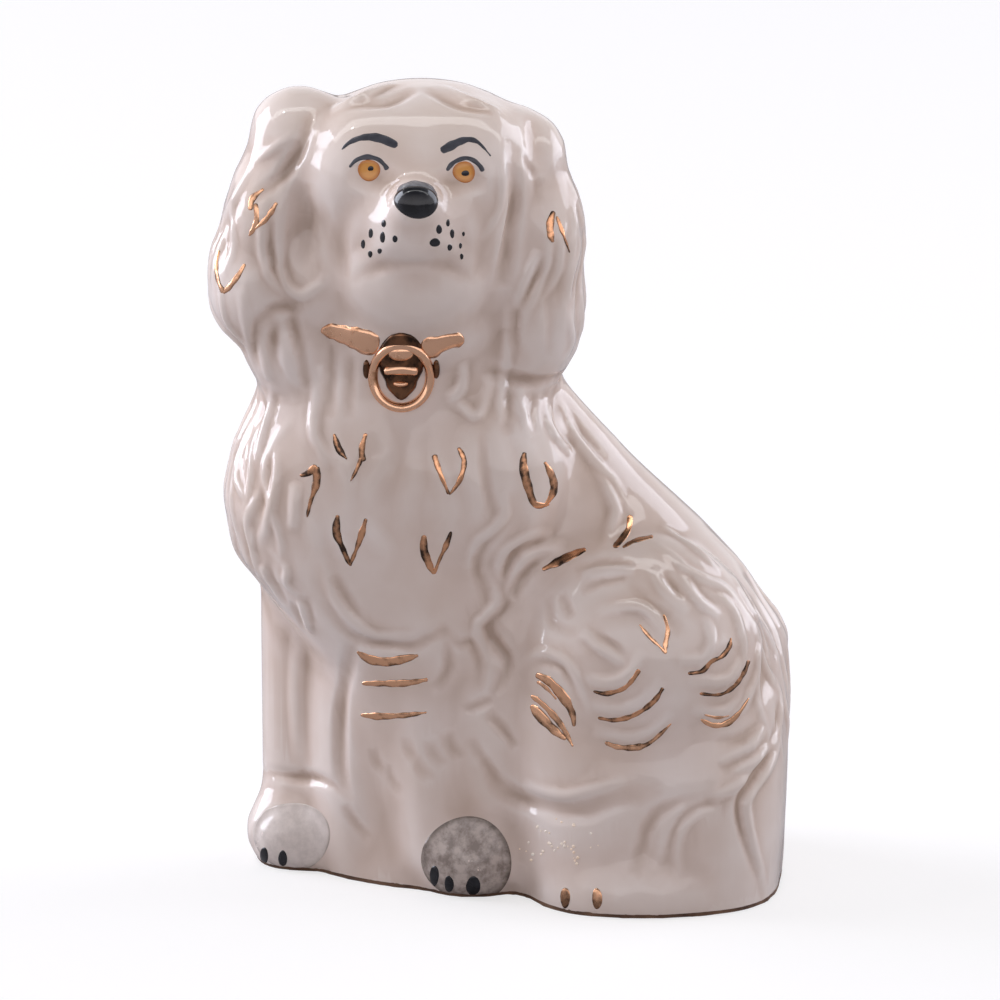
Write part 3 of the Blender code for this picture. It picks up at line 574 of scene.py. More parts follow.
# Noise scales, in patches a metre.
GLAZE_CLOUD = 60.0  # clouds of tone in the glaze, about 17 mm wide
GLAZE_RIPPLE = 220.0  # ripple of the melted glaze, about 4.5 mm
GOLD_STREAK = 330.0  # patches where the brush left more or less gold, about 3 mm
ENAMEL_PATCH = 500.0  # thin places in the enamel, about 2 mm
WASH_MOTTLE = 450.0  # dabs of the sponge, about 2.2 mm
CLAY_FLECK = 300.0  # paler flecks in the bare clay, about 3.3 mm

# The floor is lit from under, as a light table is, so that it is pale to the eye and throws little up.
FLOOR_GLOW = 0.66
ROOM_BRIGHTNESS = 1.6

# The camera: how high it aims and how far off it stands, in metres, and its lens and sensor in millimetres.
CAMERA_AIM = 0.066
CAMERA_DISTANCE = 4
LENS = 848
SENSOR = 36


def take_nothing():
    """Operators act on all that is selected, so each job starts from nothing selected."""
    if bpy.context.object and bpy.context.object.mode != "OBJECT":
        bpy.ops.object.mode_set(mode="OBJECT")
    bpy.ops.object.select_all(action="DESELECT")


def take(piece):
    take_nothing()
    piece.select_set(True)
    bpy.context.view_layer.objects.active = piece


def work(piece, kind, **settings):
    """One modifier, made and applied."""
    take(piece)
    made = piece.modifiers.new(kind.lower(), kind)
    for name, value in settings.items():
        setattr(made, name, value)
    bpy.ops.object.modifier_apply(modifier=made.name)


def roll_ball(centre, half_sizes, turn=0):
    bpy.ops.mesh.primitive_uv_sphere_add(segments=32, ring_count=20, radius=MM)
    ball = bpy.context.object
    ball.scale = half_sizes
    ball.rotation_euler = (0, math.radians(turn), 0)
    ball.location = Vector(centre) * MM
    bpy.ops.object.transform_apply()
    return ball


def roll_limb(top, top_radius, foot, foot_radius):
    """A tapering roll of clay with a ball at each end."""
    top, foot = Vector(top), Vector(foot)
    run = top - foot
    bpy.ops.mesh.primitive_cone_add(
        vertices=32, radius1=foot_radius * MM, radius2=top_radius * MM, depth=run.length * MM,
        location=(top + foot) / 2 * MM, rotation=run.to_track_quat("Z", "Y").to_euler(),
    )
    roll = bpy.context.object
    bpy.ops.object.transform_apply()
    ends = [roll_ball(top, (top_radius,) * 3), roll_ball(foot, (foot_radius,) * 3)]
    return [roll] + ends


def coil_column(rings):
    """The trunk, built up ring on ring as a coil pot is, each ring pressed to its own flattened round."""
    around = 48
    bpy.ops.mesh.primitive_circle_add(vertices=around, radius=1, fill_type="NGON")
    column = bpy.context.object
    bpy.ops.object.mode_set(mode="EDIT")
    bpy.ops.mesh.select_all(action="SELECT")
    for _ in rings[1:]:
        bpy.ops.mesh.extrude_region_move(TRANSFORM_OT_translate={"value": (0, 0, 1)})
    bpy.ops.object.mode_set(mode="OBJECT")
    for vert in column.data.vertices:
        height, left, right, near, far, squareness = rings[round(vert.co.z)]
        across, along = vert.co.x, vert.co.y
        halves = ((right - left) / 2, (far - near) / 2)
        x = (left + right) / 2 + halves[0] * math.copysign(abs(across) ** (2 / squareness), across)
        y = (near + far) / 2 + halves[1] * math.copysign(abs(along) ** (2 / squareness), along)
        vert.co = Vector((x, y, height)) * MM
    take(column)
    bpy.ops.object.mode_set(mode="EDIT")
    bpy.ops.mesh.select_all(action="SELECT")
    bpy.ops.mesh.normals_make_consistent(inside=False)
    bpy.ops.object.mode_set(mode="OBJECT")
    return column


def blend_clay(name, inset, grain):
    """All the lumps, each made smaller by the inset, joined, blended into one skin and softened."""
    take_nothing()
    lumps = []
    for rings in (CHEST_RINGS, RUMP_RINGS):
        lumps.append(coil_column(
            [(h, left + inset, right - inset, near + inset, far - inset, square)
             for h, left, right, near, far, square in rings]
        ))
    for centre, half_sizes, turn in BALLS:
        if min(half_sizes) > inset:
            lumps.append(roll_ball(centre, [half - inset for half in half_sizes], turn))
    for top, top_radius, foot, foot_radius in LIMBS:
        lumps += roll_limb(top, top_radius - inset, foot, foot_radius - inset)
    take_nothing()
    for lump in lumps:
        lump.select_set(True)
    bpy.context.view_layer.objects.active = lumps[0]
    bpy.ops.object.join()
    clay = bpy.context.object
    clay.name = name
    work(clay, "REMESH", mode="VOXEL", voxel_size=grain)
    work(clay, "SMOOTH", factor=0.5, iterations=BLEND_PASSES)
    return clay


def slice_flat(clay, height):
    """The clay is wired off flat at the height, and what is below it is thrown away."""
    take(clay)
    bpy.ops.object.mode_set(mode="EDIT")
    bpy.ops.mesh.select_all(action="SELECT")
    bpy.ops.mesh.bisect(plane_co=(0, 0, height), plane_no=(0, 0, 1), use_fill=True, clear_inner=True)
    bpy.ops.object.mode_set(mode="OBJECT")


def positions(mesh):
    spots = np.empty(len(mesh.vertices) * 3, np.float32)
    mesh.vertices.foreach_get("co", spots)
    return spots.reshape(-1, 3)


def outward(mesh):
    ways = np.empty(len(mesh.vertices) * 3, np.float32)
    mesh.vertex_normals.foreach_get("vector", ways)
    return ways.reshape(-1, 3)


def move_points(mesh, spots):
    mesh.vertices.foreach_set("co", np.asarray(spots, np.float32).ravel())
    mesh.update()


def evened(mesh, values, passes):
    """Each point's value averaged with its neighbours', over and over."""
    pairs = np.empty(len(mesh.edges) * 2, np.int32)
    mesh.edges.foreach_get("vertices", pairs)
    first, second = pairs.reshape(-1, 2).T
    count = len(mesh.vertices)
    shares = np.bincount(first, minlength=count) + np.bincount(second, minlength=count)
    shares = np.maximum(shares, 1)
    values = np.asarray(values, float)
    for _ in range(passes):
        total = np.stack([
            np.bincount(first, column[second], count) + np.bincount(second, column[first], count)
            for column in values.T
        ], axis=1)
        values = 0.5 * values + 0.5 * total / shares[:, None]
    return values


def touch(skin, look, across, up):
    """Where a tool held at that place of a look meets the clay, and the clay's outward direction there."""
    right, rise, way, drop = LOOKS[look]
    start = (Vector(right) * across + Vector(rise) * (up - drop)) * MM
    spot, normal, _, _ = skin.ray_cast(start - Vector(way) * REACH, Vector(way), 2 * REACH)
    if spot is None:
        spot, normal, _, _ = skin.find_nearest(start)
    return spot, normal


def curve_through(points, share):
    """A smooth curve through the points, at a share from 0 to 1 of its way."""
    spans = len(points) - 1
    span = min(int(share * spans), spans - 1)
    t = share * spans - span
    p0 = Vector(points[max(span - 1, 0)])
    p1 = Vector(points[span])
    p2 = Vector(points[span + 1])
    p3 = Vector(points[min(span + 2, spans)])
    bend = 2 * p0 - 5 * p1 + 4 * p2 - p3
    twist = 3 * p1 - p0 - 3 * p2 + p3
    return 0.5 * (2 * p1 + (p2 - p0) * t + bend * t * t + twist * t * t * t)


def pull_tool(clay_points, skin, raised, cut, look, line, half_width, height):
    """One pull of a round-ended tool along a line, fading in and out at its ends."""
    line = [Vector(place) for place in line]
    line[0] += (line[0] - line[1]).normalized() * RUN_ON
    line[-1] += (line[-1] - line[-2]).normalized() * RUN_ON
    length = sum((b - a).length for a, b in zip(line, line[1:]))
    steps = max(int(length / PRESS_STEP), 3)
    track = np.array([
        touch(skin, look, *curve_through(line, step / steps))[0] for step in range(steps + 1)
    ])
    share = np.linspace(0, 1, steps + 1)
    ease = np.sin(np.pi * share)
    wide = half_width * MM
    low, high = track.min(0) - wide, track.max(0) + wide
    near = np.flatnonzero(((clay_points > low) & (clay_points < high)).all(1))
    if not len(near):
        return
    gaps = np.linalg.norm(clay_points[near][:, None] - track[None], axis=2)
    nearest = gaps.argmin(1)
    round_end = np.clip(1 - (gaps[np.arange(len(near)), nearest] / wide) ** 2, 0, 1) ** 2
    amount = abs(height) * MM * ease[nearest] * round_end
    target = raised if height > 0 else cut
    target[near] = np.maximum(target[near], amount)


def combed(patch, spacing, lean, seed):
    """Wavy locks side by side over a patch that no list covers, drawn with a set seed."""
    left, right, low, high = patch
    draw = np.random.default_rng(seed)
    lines = []
    across = left
    while across < right:
        top = high - draw.uniform(*LOCK_START)
        while top > low + LOCK_ROOM:
            length = draw.uniform(*LOCK_LENGTH)
            sway = draw.uniform(*LOCK_SWAY) * draw.choice([-1, 1])
            foot = max(top - length, low)
            line = []
            for step in range(LOCK_POINTS):
                share = step / (LOCK_POINTS - 1)
                x = across + lean * share * (top - foot) + sway * math.sin(share * 2 * math.pi)
                line.append((x, top + (foot - top) * share))
            lines.append(line)
            top = foot - draw.uniform(*LOCK_STEP)
        across += spacing * draw.uniform(0.8, 1.25)
    return lines


def model_fur(clay):
    mesh = clay.data
    spots = positions(mesh)
    skin = BVHTree.FromObject(clay, bpy.context.evaluated_depsgraph_get())

    def dress(jobs):
        raised = np.zeros(len(spots), np.float32)
        cut = np.zeros(len(spots), np.float32)
        for look, line, half_width, height in jobs:
            pull_tool(spots, skin, raised, cut, look, line, half_width, height)
        return raised - cut

    def combed_jobs(look, patch, spacing, lean, seed, half_width, height):
        return [(look, line, half_width, height) for line in combed(patch, spacing, lean, seed)]

    wide = [("front", line, half_width, height) for half_width, height, line in FORMS]
    wide += combed_jobs(*BREAST_WAVES)
    fine = [
        (look, line, half_width, height) for look, lines, half_width, height in LISTED_FUR for line in lines
    ]
    # A dent is a short slanting pull.
    fine += [("front", [(x - 0.3, v + 1.2), (x, v), (x + 0.8, v - 1)], DENT, -DENT_DEPTH) for x, v in DENTS]
    for patch_of_fur in COMBED_FUR:
        fine += combed_jobs(*patch_of_fur)

    height = dress(wide) + dress(fine)
    move_points(mesh, spots + outward(mesh) * height[:, None])
    return clay


def store_hollow_depth(clay):
    """How deep each point lies below the evened-out surface: glaze gathers there when it melts, and the
    colour is darkened there as painted shade.
    """
    mesh = clay.data
    spots = positions(mesh).astype(float)
    depth = ((evened(mesh, spots, EVENING_PASSES) - spots) * outward(mesh)).sum(1)
    pool_and_shade = np.clip(0.5 + depth / (POOL_AND_SHADE_DEPTH * MM), 0, 1)
    layer = mesh.attributes.new("pool_and_shade", "FLOAT", "POINT")
    layer.data.foreach_set("value", pool_and_shade.astype(np.float32))


def make_body():
    clay = blend_clay("glazed_body", 0, CLAY_GRAIN * MM)
    work(clay, "SUBSURF", levels=2, render_levels=2)
    model_fur(clay)
    work(clay, "SMOOTH", factor=0.5, iterations=2)
    slice_flat(clay, 0.0)
    return clay


def hollow_out(clay):
    """The slip is poured out: the casting is hollow, and its drain hole is in the base."""
    core = blend_clay("core", WALL, CORE_GRAIN * MM)
    slice_flat(core, WALL * MM)
    bpy.ops.mesh.primitive_cylinder_add(
        vertices=48, radius=DRAIN_HOLE_RADIUS * MM, depth=DRAIN_DRILL_LENGTH * MM,
        location=Vector(DRAIN_HOLE_PLACE) * MM,
    )
    drill = bpy.context.object
    for tool in (core, drill):
        work(clay, "BOOLEAN", operation="DIFFERENCE", object=tool, solver="MANIFOLD")
        bpy.data.objects.remove(tool)


def linear(hex_code):
    """An sRGB hex value as linear colour."""
    parts = [int(hex_code[i:i + 2], 16) / 255 for i in (0, 2, 4)]
    return tuple(p / 12.92 if p <= 0.04045 else ((p + 0.055) / 1.055) ** 2.4 for p in parts) + (1.0,)


def add_node(tree, kind, settings=None, links=None):
    """Adds a node, with its settings and sockets by name or number, and links into it."""
    node = tree.nodes.new("ShaderNode" + kind)
    for name, value in (settings or {}).items():
        if isinstance(name, str) and name not in node.inputs:
            setattr(node, name, value)
        else:
            node.inputs[name].default_value = value
    for name, source in (links or {}).items():
        tree.links.new(source, node.inputs[name])
    return node


def new_material(name, **sockets):
    made = bpy.data.materials.new(name)
    made.use_nodes = True
    shader = made.node_tree.nodes["Principled BSDF"]
    for socket, value in sockets.items():
        shader.inputs[socket.replace("_", " ")].default_value = value
    return made, made.node_tree, shader


def ramp(tree, source, stops):
    node = add_node(tree, "ValToRGB", links={"Fac": source})
    elements = node.color_ramp.elements
    while len(elements) < len(stops):
        elements.new(0.5)
    for element, (place, colour) in zip(elements, stops):
        element.position = place
        element.color = colour
    return node.outputs["Color"]


def cream_glaze():
    """Cream earthenware under a clear lead-free glaze, fired glossy: glassy, faintly uneven in tone, and
    darker in the hollows, where the glaze pools and shade is painted into its colour."""
    made, tree, shader = new_material("cream_glazed_earthenware", Roughness=0.07, IOR=1.52)
    place = add_node(tree, "TexCoord").outputs["Object"]
    pool_and_shade = add_node(tree, "Attribute", {"attribute_name": "pool_and_shade"}).outputs["Fac"]
    # Darker with the depth of the hollows: painted shade, where the glaze also pools.
    body = ramp(tree, pool_and_shade, [
        (0.25, linear("ece0d9")), (0.5, linear("e4d4cb")), (0.8, linear("d2bfb3")), (1.0, linear("bca799")),
    ])
    cloud = add_node(tree, "TexNoise", {"Scale": GLAZE_CLOUD, "Detail": 3.0}, {"Vector": place})
    tone = ramp(tree, cloud.outputs["Fac"], [(0.3, linear("f2ece6")), (0.7, linear("ffffff"))])
    mixed = add_node(
        tree, "Mix", {"data_type": "RGBA", "blend_type": "MULTIPLY", "Factor": 1.0}, {6: body, 7: tone}
    )
    tree.links.new(mixed.outputs[2], shader.inputs["Base Color"])
    ripple = add_node(tree, "TexNoise", {"Scale": GLAZE_RIPPLE, "Detail": 2.0}, {"Vector": place})
    bump = add_node(
        tree, "Bump", {"Strength": 0.12, "Distance": 0.0004}, {"Height": ripple.outputs["Fac"]}
    )
    tree.links.new(bump.outputs["Normal"], shader.inputs["Normal"])
    return made


def brushed_gold(name, light, dark, share):
    """Gold lustre, a metal film brushed on the glaze and fired. Its colour is painted in rosy and brown
    patches: painted light and shade, standing for reflections of bright and dark surroundings. The share is
    how much of it is painted brown."""
    made, tree, shader = new_material(name, Metallic=1.0, Roughness=0.2)
    place = add_node(tree, "TexCoord").outputs["Object"]
    patch = add_node(
        tree, "TexNoise", {"Scale": GOLD_STREAK, "Detail": 4.0, "Roughness": 0.6}, {"Vector": place}
    )
    rim = add_node(tree, "Attribute", {"attribute_name": "rim"}).outputs["Fac"]
    gold_shade_mix = add_node(
        tree, "Math", {"operation": "MULTIPLY_ADD", 1: -EDGE_THINNING}, {0: rim, 2: patch.outputs["Fac"]}
    )
    # Light and dark gold in patches: painted reflection, light and shade, in the base colour.
    colour = ramp(tree, gold_shade_mix.outputs[0], [(share - 0.12, linear(dark)), (share + 0.1, linear(light))])
    tree.links.new(colour, shader.inputs["Base Color"])
    rough = add_node(
        tree, "MapRange", {"From Min": 0.3, "From Max": 0.7, "To Min": 0.32, "To Max": 0.14},
        {"Value": patch.outputs["Fac"]},
    )
    tree.links.new(rough.outputs["Result"], shader.inputs["Roughness"])
    bump = add_node(
        tree, "Bump", {"Strength": 0.15, "Distance": 0.0002}, {"Height": patch.outputs["Fac"]}
    )
    tree.links.new(bump.outputs["Normal"], shader.inputs["Normal"])
    return made


def enamel(name, dark, light, roughness):
    """Overglaze enamel, painted by hand: opaque, glossy, a little thin in places."""
    made, tree, shader = new_material(name, Roughness=roughness, IOR=1.5)
    place = add_node(tree, "TexCoord").outputs["Object"]
    patch = add_node(tree, "TexNoise", {"Scale": ENAMEL_PATCH, "Detail": 3.0}, {"Vector": place})
    colour = ramp(tree, patch.outputs["Fac"], [(0.35, linear(dark)), (0.75, linear(light))])
    tree.links.new(colour, shader.inputs["Base Color"])
    bump = add_node(
        tree, "Bump", {"Strength": 0.15, "Distance": 0.0002}, {"Height": patch.outputs["Fac"]}
    )
    tree.links.new(bump.outputs["Normal"], shader.inputs["Normal"])
    return made


def amber_enamel():
    """Iron-orange enamel of the eyes, thin in the middle and gathered in a darker line at the edge."""
    made, tree, shader = new_material("amber_enamel", Roughness=0.15, IOR=1.5)
    rim = add_node(tree, "Attribute", {"attribute_name": "rim"}).outputs["Fac"]
    colour = ramp(tree, rim, [
        (0.0, linear("e3a35a")), (0.62, linear("e0a055")), (0.85, linear("c9823f")), (1.0, linear("c07a45")),
    ])
    tree.links.new(colour, shader.inputs["Base Color"])
    return made


def grey_wash(name, middle, edge, mottle):
    """Thinned black enamel washed over the paw: mottled, with a darker tide line at its edge."""
    made, tree, shader = new_material(name, Roughness=0.16, IOR=1.5)
    place = add_node(tree, "TexCoord").outputs["Object"]
    rim = add_node(tree, "Attribute", {"attribute_name": "rim"}).outputs["Fac"]
    patch = add_node(
        tree, "TexNoise", {"Scale": WASH_MOTTLE, "Detail": 5.0, "Roughness": 0.65}, {"Vector": place}
    )
    colour = ramp(tree, rim, [(0.0, linear(middle)), (0.86, linear(middle)), (0.98, linear(edge))])
    speck = ramp(tree, patch.outputs["Fac"], [(0.38, linear("8f8782")), (0.6, linear("ffffff"))])
    mixed = add_node(
        tree, "Mix", {"data_type": "RGBA", "blend_type": "MULTIPLY", "Factor": mottle}, {6: colour, 7: speck}
    )
    tree.links.new(mixed.outputs[2], shader.inputs["Base Color"])
    return made


def foot_shadow_clay():
    """Unglazed fired clay at the foot, painted dark brown as the shadow along the base: matt and grainy, with
    paler flecks.
    """
    made, tree, shader = new_material("unglazed_foot_painted_shadow", Roughness=0.8)
    place = add_node(tree, "TexCoord").outputs["Object"]
    patch = add_node(tree, "TexNoise", {"Scale": CLAY_FLECK, "Detail": 4.0}, {"Vector": place})
    colour = ramp(tree, patch.outputs["Fac"], [(0.3, linear("4a3328")), (0.8, linear("8a6a52"))])
    tree.links.new(colour, shader.inputs["Base Color"])
    return made


def film_sheet(skin, outline, columns, rows, dome, sunk, closed=False):
    """A thin layer on the clay with a softly domed top. outline turns (u, w), each from -1 to 1, into a
    place on the sheet and a share of the dome's height. It gives points, faces and each point's rim."""
    tops, bottoms, rims = [], [], []
    turns = columns if closed else columns + 1
    for i in range(turns):
        for j in range(rows + 1):
            u, w = 2 * i / columns - 1, 2 * j / rows - 1
            place, swell, rim = outline(u, w)
            spot, normal = touch(skin, "front", *place)
            near = skin.find_nearest_range(spot, BRISTLE_REACH * MM)
            normal = sum((found[1] for found in near), Vector()).normalized()
            tops.append(spot + normal * (LEAST_FILM + dome * swell) * MM)
            bottoms.append(spot - normal * sunk * MM)
            rims.append(rim)
    count = len(tops)
    faces = []

    def at(i, j):
        return (i % turns) * (rows + 1) + j

    for i in range(columns):
        for j in range(rows):
            quad = (at(i, j), at(i + 1, j), at(i + 1, j + 1), at(i, j + 1))
            faces.append(quad)
            faces.append(tuple(count + k for k in reversed(quad)))
        for j in (0, rows):
            side = (at(i, j), at(i + 1, j))
            faces.append((side[0], side[1], side[1] + count, side[0] + count))
    if not closed:
        for i in (0, columns):
            for j in range(rows):
                side = (at(i, j), at(i, j + 1))
                faces.append((side[0], side[1], side[1] + count, side[0] + count))
    return tops + bottoms, faces, rims + rims


def make_layer(name, sheets, material):
    """One painted piece out of one or more sheets."""
    shape = bmesh.new()
    layer = shape.verts.layers.float.new("rim")
    for points, faces, rims in sheets:
        verts = [shape.verts.new(point) for point in points]
        for vert, rim in zip(verts, rims):
            vert[layer] = rim
        for face in faces:
            if len(set(face)) == len(face):
                shape.faces.new([verts[k] for k in face])
    bmesh.ops.recalc_face_normals(shape, faces=shape.faces[:])
    for face in shape.faces:
        face.smooth = True
    mesh = bpy.data.meshes.new(name)
    shape.to_mesh(mesh)
    shape.free()
    mesh.materials.append(material)
    piece = bpy.data.objects.new(name, mesh)
    bpy.context.scene.collection.objects.link(piece)
    return piece


def width_at(widths, share):
    spans = len(widths) - 1
    span = min(int(share * spans), spans - 1)
    t = share * spans - span
    t = t * t * (3 - 2 * t)
    return widths[span] + (widths[span + 1] - widths[span]) * t


def line_length(points):
    return sum((Vector(b) - Vector(a)).length for a, b in zip(points, points[1:]))


def pull_outline(points, widths, uneven=UNEVEN, seed=0):
    """A brush pull along a line: rounded at both ends, its edge a little uneven."""
    length = line_length(points)
    slow, fast = np.random.default_rng(seed).uniform(0, A_TURN, 2)

    def outline(u, w):
        share = (u + 1) / 2
        here = curve_through(points, share)
        ahead = curve_through(points, min(share + 0.02, 1.0))
        behind = curve_through(points, max(share - 0.02, 0.0))
        side = (ahead - behind).normalized().orthogonal()
        width = width_at(widths, share)
        from_end = min(share, 1 - share) * length
        close = min(from_end / (0.5 * max(width, 0.2)), 1.0)
        full = math.sqrt(max(1 - (1 - close) ** 2, 0.02))
        along = share * length
        edge = uneven * (math.sin(along * 1.3 + slow) + math.sin(along * 3.1 + fast))
        half = max(width / 2 * full + edge * full * abs(w), 0.06)
        place = here + side * (w * half)
        return place, math.sqrt(max(1 - w * w, 0)) * full, abs(w)

    return outline


def oval_outline(centre, halves, wobble=0.0, seed=0):
    """A dab of colour: an oval whose edge wobbles by a share of its size."""
    two_lobes, three_lobes = np.random.default_rng(seed).uniform(0, A_TURN, 2)

    def outline(u, w):
        x = u * math.sqrt(1 - w * w / 2)
        z = w * math.sqrt(1 - u * u / 2)
        out = min(math.hypot(x, z), 1.0)
        turn = math.atan2(z, x)
        swell = 1 + wobble * (math.sin(2 * turn + two_lobes) + math.sin(3 * turn + three_lobes))
        place = (centre[0] + x * halves[0] * swell, centre[1] + z * halves[1] * swell)
        return place, math.sqrt(max(1 - out * out, 0)), out

    return outline


def ring_outline(centre, halves, band):
    """An oval ring with a band of one width."""
    def outline(u, w):
        angle = math.pi * u
        inner = (1 - w) / 2 * band
        x = centre[0] + (halves[0] - inner) * math.cos(angle)
        v = centre[1] + (halves[1] - inner) * math.sin(angle)
        return (x, v), math.sqrt(max(1 - w * w, 0)), abs(w)

    return outline


def pulls(skin, name, marks, material, dome, sunk=SUNK, seed=0):
    """One piece of brush pulls, each a line with its widths."""
    sheets = []
    for order, (line, widths) in enumerate(marks):
        steps = max(int(line_length(line) / PULL_STEP), 10)
        outline = pull_outline(line, widths, seed=seed + order)
        sheets.append(film_sheet(skin, outline, steps, PULL_ROWS, dome, sunk))
    return make_layer(name, sheets, material)


def ovals(skin, name, spots, material, dome, sunk=SUNK, seed=0, cells=12):
    """One piece of dabs of colour, each a centre with its half sizes."""
    sheets = [
        film_sheet(skin, oval_outline(centre, halves, DAB_WOBBLE, seed + order), cells, cells, dome, sunk)
        for order, (centre, halves) in enumerate(spots)
    ]
    return make_layer(name, sheets, material)


def scatter_glints(place, spread, count, seed, sizes):
    """Specks of painted glint: round, and placed with a set seed."""
    draw = np.random.default_rng(seed)
    specks = []
    for _ in range(count):
        turn, out = draw.uniform(0, 2 * math.pi), draw.uniform(0.1, 1)
        size = draw.uniform(*sizes)
        x = place[0] + spread[0] * out * math.cos(turn)
        v = place[1] + spread[1] * out * math.sin(turn)
        specks.append(((x, v), (size, size)))
    return specks


def paint(skin, finishes):
    """Every painted and gilded layer: (piece, the part it stands for, the record's finish)."""
    made = []
    for seed, (name, marks) in enumerate(GILT_MARKS.items()):
        gold = finishes["gold_more_painted_shade" if name in MORE_SHADED_GILT else "gold"]
        made.append((pulls(skin, name + "_brushed", marks, gold, 0.07, seed=seed * 7), name, "gold"))
    for lay, shapes, ending, finish, dome, first_seed, slot in (
        (pulls, {**BROWS, **LIDS}, "_painted", "slate", 0.05, 50, "black_enamel"),
        (ovals, IRISES, "_painted", "amber", 0.04, 60, "orange_enamel"),
        (ovals, PUPILS, "_painted", "black", 0.12, 64, "black_enamel"),
        (ovals, BLACK_CLAWS, "_painted", "black", 0.12, 70, "black_enamel"),
        (ovals, GILT_CLAWS, "_brushed", "gold", 0.08, 80, "gold"),
    ):
        for seed, (name, shape) in enumerate(shapes.items(), first_seed):
            made.append((lay(skin, name + ending, [shape], finishes[finish], dome, seed=seed), name, slot))
    for name, finish, seed in (("paw_wash_near", "wash", 90), ("paw_wash_far", "faint", 91)):
        piece = ovals(skin, name + "_painted", [WASHES[name]], finishes[finish], 0.0, seed=seed, cells=30)
        made.append((piece, name, "wash"))
    nose = ovals(skin, "nose_enamel", [NOSE], finishes["black"], 0.25, seed=95, cells=20)
    bridge = pulls(skin, "nose_bridge_enamel", [NOSE_BRIDGE], finishes["grey_with_painted_highlight"], 0.03)
    # Near-white specks by the near hind foot: painted glints, standing for highlights on the glaze.
    specks = ovals(
        skin, "glint_specks", scatter_glints(**GLINT_SCATTER), finishes["glint_white"], 0.1, sunk=0.08, seed=120, cells=6
    )
    spots = ovals(skin, "whisker_spots", WHISKER_SPOTS, finishes["black"], 0.05, seed=100, cells=8)
    return made + [
        (nose, "nose", "black_enamel"), (bridge, None, "black_enamel"), (specks, None, "gold"),
        (spots, None, "black_enamel"),
    ]


def hang_locket(skin, finishes):
    """The neck chain and the locket, raised in the casting and gilded: (piece, part, finish) as in paint."""
    bright, dark = finishes["chain_gold"], finishes["dark_gold"]
    made = []
    for seed, (name, pull) in enumerate(CHAINS.items(), 110):
        piece = pulls(skin, name + "_brushed", [pull], bright, 0.35, sunk=0.4, seed=seed)
        made.append((piece, name, "gold"))
    x, v = LOCKET
    ring = film_sheet(skin, ring_outline(LOCKET, (5.65, 6.1), 1.65), 64, 8, 0.9, 0.5, closed=True)
    made.append((make_layer("locket_ring_gilt", [ring], bright), "locket_ring", "gold"))
    pear = pull_outline(
        [(x, v + 7.3), (x, v + 4.4), (x, v + 1.4), (x, v - 1.4), (x, v - 4.0)], (6.0, 8.0, 7.4, 5.2, 1.4), 0.0
    )
    # The boss and the lugs take the darkest gold: painted shade between the bright bars and beside the ring.
    boss = film_sheet(skin, pear, 24, 14, 0.9, 0.5)
    made.append((make_layer("locket_boss_shaded", [boss], dark), "locket_boss", "shaded_gold"))
    bar = pull_outline([(x - 2.9, v + 1.3), (x, v + 1.5), (x + 2.9, v + 1.3)], (1.5, 1.9, 1.5), 0.0)
    bars = [
        film_sheet(skin, oval_outline((x, v + 4.1), (2.4, 1.3)), 12, 12, 1.3, 0.2),
        film_sheet(skin, bar, 14, 8, 1.4, 0.2),
        film_sheet(skin, oval_outline((x - 0.1, v - 1.0), (1.5, 0.75)), 10, 10, 1.4, 0.2),
    ]
    made.append((make_layer("locket_bars_gilt", bars, bright), None, "gold"))
    for name, side in (("locket_lug_left", -1), ("locket_lug_right", 1)):
        lug = film_sheet(skin, oval_outline((x + side * 5.9, v + 1.2), (0.6, 1.6)), 8, 8, 0.6, 0.3)
        made.append((make_layer(name + "_shaded", [lug], dark), name, "shaded_gold"))
    return made


def foot_shadow_line(body, material):
    """The unglazed edge that the piece stands on, wiped clean of glaze before firing, in a dark brown that
    paints the shadow along the base.
    """
    take(body)
    bpy.ops.object.duplicate()
    foot = bpy.context.object
    foot.name = "foot_shadow_line"
    foot.data.materials.clear()
    foot.data.materials.append(material)
    bpy.ops.object.mode_set(mode="EDIT")
    bpy.ops.mesh.select_all(action="SELECT")
    bpy.ops.mesh.bisect(
        plane_co=(0, 0, FOOT_HEIGHT * MM), plane_no=(0, 0, 1), use_fill=True, clear_outer=True
    )
    bpy.ops.object.mode_set(mode="OBJECT")
    spots = positions(foot.data)
    ways = outward(foot.data)
    ways[:, 2] = 0
    size = np.maximum(np.linalg.norm(ways, axis=1, keepdims=True), 1e-6)
    move_points(foot.data, spots + ways / size * FOOT_RELIEF * MM)
    return foot


def light(name, place, aim, size, power, colour="ffffff"):
    lamp = bpy.data.lights.new(name, "AREA")
    lamp.shape = "RECTANGLE"
    lamp.size, lamp.size_y = size
    lamp.energy = power
    lamp.color = linear(colour)[:3]
    holder = bpy.data.objects.new(name, lamp)
    holder.location = place
    back = (Vector(place) - Vector(aim)).normalized()
    level = Vector((0, 1, 0)) if abs(back.x) > 0.7 else Vector((1, 0, 0))
    rise = back.cross(level).normalized()
    holder.rotation_euler = Matrix((rise.cross(back), rise, back)).transposed().to_euler()
    bpy.context.scene.collection.objects.link(holder)


